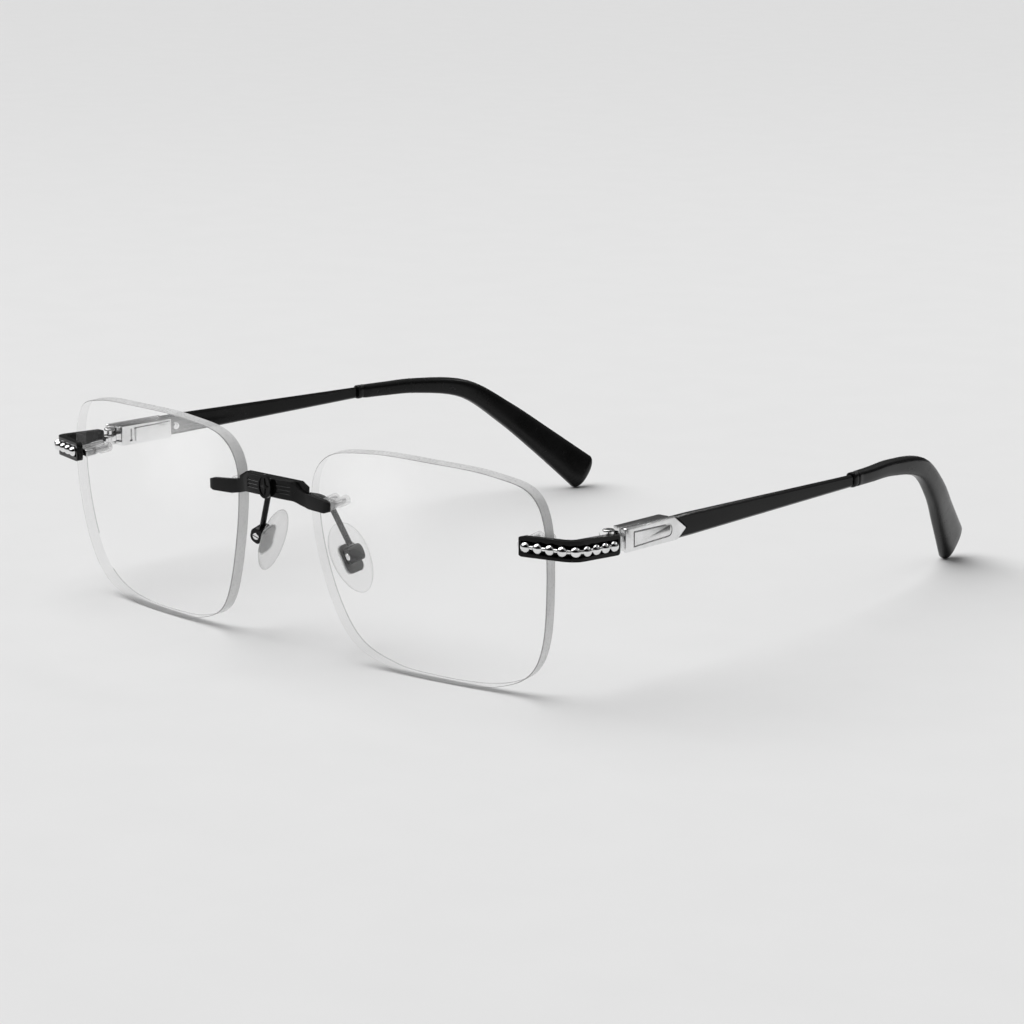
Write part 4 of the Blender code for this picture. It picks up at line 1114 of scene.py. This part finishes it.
def show(obj, node, matrix, finishes):
    """Place and finish a fine piece, with its large plane faces flat, and let it stand for its CAD node."""
    obj.name = "fine_" + node
    obj.data.name = obj.name
    obj.data.transform(metric(Matrix.Translation((0, -CENTRE_Y, 0)) @ matrix))
    marks = [face.material_index for face in obj.data.polygons]
    obj.data.materials.clear()
    for finish in finishes:
        obj.data.materials.append(finish)
    if len(finishes) > 1:
        obj.data.polygons.foreach_set("material_index", marks)
    else:
        merge_flat(obj.data)
    obj.data.shade_smooth()
    for face in obj.data.polygons:
        face.use_smooth = len(face.vertices) < 5 or face.area < FLAT_AREA
    obj.data.set_sharp_from_angle(angle=SHARP_ANGLE)
    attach(obj, body_with(node))
    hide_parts(node)


def show_pair(obj, name, matrix, *finishes):
    """Show a piece on the wearer's left and its mirror image on the right."""
    twin = add_object(name, obj.data.copy())
    twin.data.transform(MIRROR)
    twin.data.flip_normals()
    show(obj, name + "_left", matrix, finishes)
    show(twin, name + "_right", MIRROR @ matrix @ MIRROR, finishes)


def build():
    lacquer, tip_black, plated = black_lacquer(), black_acetate(), silver()
    plate_grey, insert_grey = satin_grey("plate_grey", 0.16, 0.24), satin_grey("insert_grey", 0.34, 0.46)
    steel = silver("spring_wire", 0.6, (0.2, 0.32))
    ferrule_silver = silver("ferrule_silver", 0.86, (0.17, 0.27))
    pad_clear = soft_clear("pad_silicone", 0.5, 0.05, 0.75)
    sleeve_clear = soft_clear("bushing_clear", 0.75, 0.22, 0.75)

    ground_edge = lens_edge("lens_edge", 0.52, 0.64, 0.14)
    # Painted shade: the chamfers are dark grey for the thin dark lines that light refracted in the lens draws
    # along its rim.
    chamfer = lens_edge("lens_rim", 0.16, 0.24, 0.5)

    at_front = Matrix.Identity(4)
    at_lens = lens_place()
    at_hinge = hinge_place()
    at_temple = temple_place()
    at_pad = pad_place()

    show_pair(lens(), "lens", at_lens, lens_clear(), ground_edge, chamfer)
    for name, middle in (("bridge", NASAL_PINS), ("endpiece", TEMPORAL_PINS)):
        show_pair(pin_plate(middle), name + "_pins", at_lens, plated)
        show_pair(bushing(middle), name + "_bushing", at_lens, sleeve_clear)

    show(bridge(), "bridge", at_front, [lacquer])
    show(medallion(), "bridge_medallion", at_front, [lacquer])

    # Each of these functions has the name of the CAD node that its shape stands for.
    for shape, place, finish in (
            (pad_arm, at_front, lacquer), (pad_box, at_pad, lacquer), (pad_screw, at_pad, plated),
            (pad_insert, at_pad, insert_grey), (nose_pad, at_pad, pad_clear),
            (endpiece, at_front, lacquer), (bead_strip, at_front, plated),
            (hinge_leaf, at_hinge, plated), (hinge_screw, at_hinge, plated),
            (hinge_slider, at_temple, plated), (spring_housing, at_temple, plated),
            (spring_cover, at_temple, plated),
            (ferrule, at_temple, ferrule_silver), (ferrule_inlay, at_temple, ferrule_silver),
            (temple_arm, at_temple, lacquer), (temple_plate, at_temple, plate_grey),
            (temple_rivet, at_temple, plated), (temple_tip, at_temple, tip_black)):
        show_pair(shape(), shape.__name__, place, finish)

    for side in ("_left", "_right"):
        for node in ("hinge_spring", "spring_retainer"):
            for slot in frame["nodes"][node + side].material_slots:
                slot.material = steel


# -------- studio

def make_camera():
    """A long lens, above the glasses and on the wearer's left of them."""
    turn, rise = math.radians(VIEW_TURN), math.radians(VIEW_RISE)
    back = Vector((math.sin(turn) * math.cos(rise), -math.cos(turn) * math.cos(rise), math.sin(rise)))
    right = Vector((math.cos(turn), math.sin(turn), 0))
    axes = Matrix((right, back.cross(right), back)).transposed()
    data = bpy.data.cameras.new("view")
    data.sensor_width = 36.0
    data.lens = VIEW_LENS
    data.clip_end = 20.0
    camera = add_object("view", data)
    aim = Vector(VIEW_TARGET) - Vector((0, CENTRE_Y, 0))
    place = Matrix.Translation((aim + back * VIEW_DISTANCE) * MM) @ axes.to_4x4()
    camera.matrix_world = place @ Matrix.Rotation(math.radians(VIEW_ROLL), 4, "Z")
    bpy.context.scene.camera = camera


def make_floor():
    mesh = bpy.data.meshes.new("studio_floor")
    bm = bmesh.new()
    bmesh.ops.create_grid(bm, x_segments=12, y_segments=12, size=FLOOR_HALF_WIDTH)
    bmesh.ops.translate(bm, vec=(0, 0, -FLOOR_GAP), verts=bm.verts)
    bm.to_mesh(mesh)
    bm.free()
    floor = add_object("studio_floor", mesh)
    floor.data.materials.append(floor_paper())


def make_sun():
    """One broad, soft light from high on the wearer's right."""
    data = bpy.data.lights.new("sun", "SUN")
    data.energy = SUN_STRENGTH
    data.angle = SUN_SPREAD
    sun = add_object("sun", data)
    sun.rotation_euler = (-Vector(SUN_FROM)).to_track_quat("-Z", "Y").to_euler()


def make_card(name, place, size):
    """A narrow soft box aimed at the glasses, for the streaks of light on gloss and metal."""
    data = bpy.data.lights.new(name, "AREA")
    data.shape = "RECTANGLE"
    data.size, data.size_y = size
    data.energy = CARD_POWER
    card = add_object(name, data)
    card.location = place
    card.rotation_euler = (Vector(CARD_AIM) - Vector(place)).to_track_quat("-Z", "Y").to_euler()


def tone_stops(ramp, stops):
    elements = ramp.color_ramp.elements
    while len(elements) < len(stops):
        elements.new(0.5)
    for element, (position, tone) in zip(elements, stops):
        element.position = position
        element.color = grey(tone)


def make_world():
    """A pale room with a dark patch where the camera stands, which bright metal picks up."""
    world = bpy.data.worlds.new("studio")
    bpy.context.scene.world = world
    world.use_nodes = True
    tree = world.node_tree
    background = tree.nodes["Background"]
    background.inputs["Strength"].default_value = ROOM_LIGHT
    coordinates = tree.nodes.new("ShaderNodeTexCoord")
    toward = tree.nodes.new("ShaderNodeVectorMath")
    toward.operation = "DOT_PRODUCT"
    toward.inputs[1].default_value = Vector(DARK_FROM).normalized()
    tree.links.new(coordinates.outputs["Generated"], toward.inputs[0])
    ramp = tree.nodes.new("ShaderNodeValToRGB")
    tone_stops(ramp, DARK_STOPS)
    tree.links.new(toward.outputs["Value"], ramp.inputs["Fac"])
    parts = tree.nodes.new("ShaderNodeSeparateXYZ")
    tree.links.new(coordinates.outputs["Generated"], parts.inputs["Vector"])
    height = tree.nodes.new("ShaderNodeValToRGB")
    tone_stops(height, HEIGHT_STOPS)
    tree.links.new(parts.outputs["Z"], height.inputs["Fac"])
    both = tree.nodes.new("ShaderNodeMix")
    both.data_type = "RGBA"
    both.blend_type = "MULTIPLY"
    both.inputs["Factor"].default_value = 1.0
    tree.links.new(ramp.outputs["Color"], both.inputs["A"])
    tree.links.new(height.outputs["Color"], both.inputs["B"])
    tree.links.new(both.outputs["Result"], background.inputs["Color"])


def make_studio():
    make_camera()
    make_floor()
    make_world()
    make_sun()
    make_card("card_right", (-0.60, -0.22, 0.62), (CARD_WIDTH, CARD_LENGTH))
    make_card("card_rear", (0.20, 0.72, 0.62), (CARD_LENGTH, CARD_WIDTH))
    bpy.context.scene.view_settings.view_transform = "Standard"


build()
make_studio()
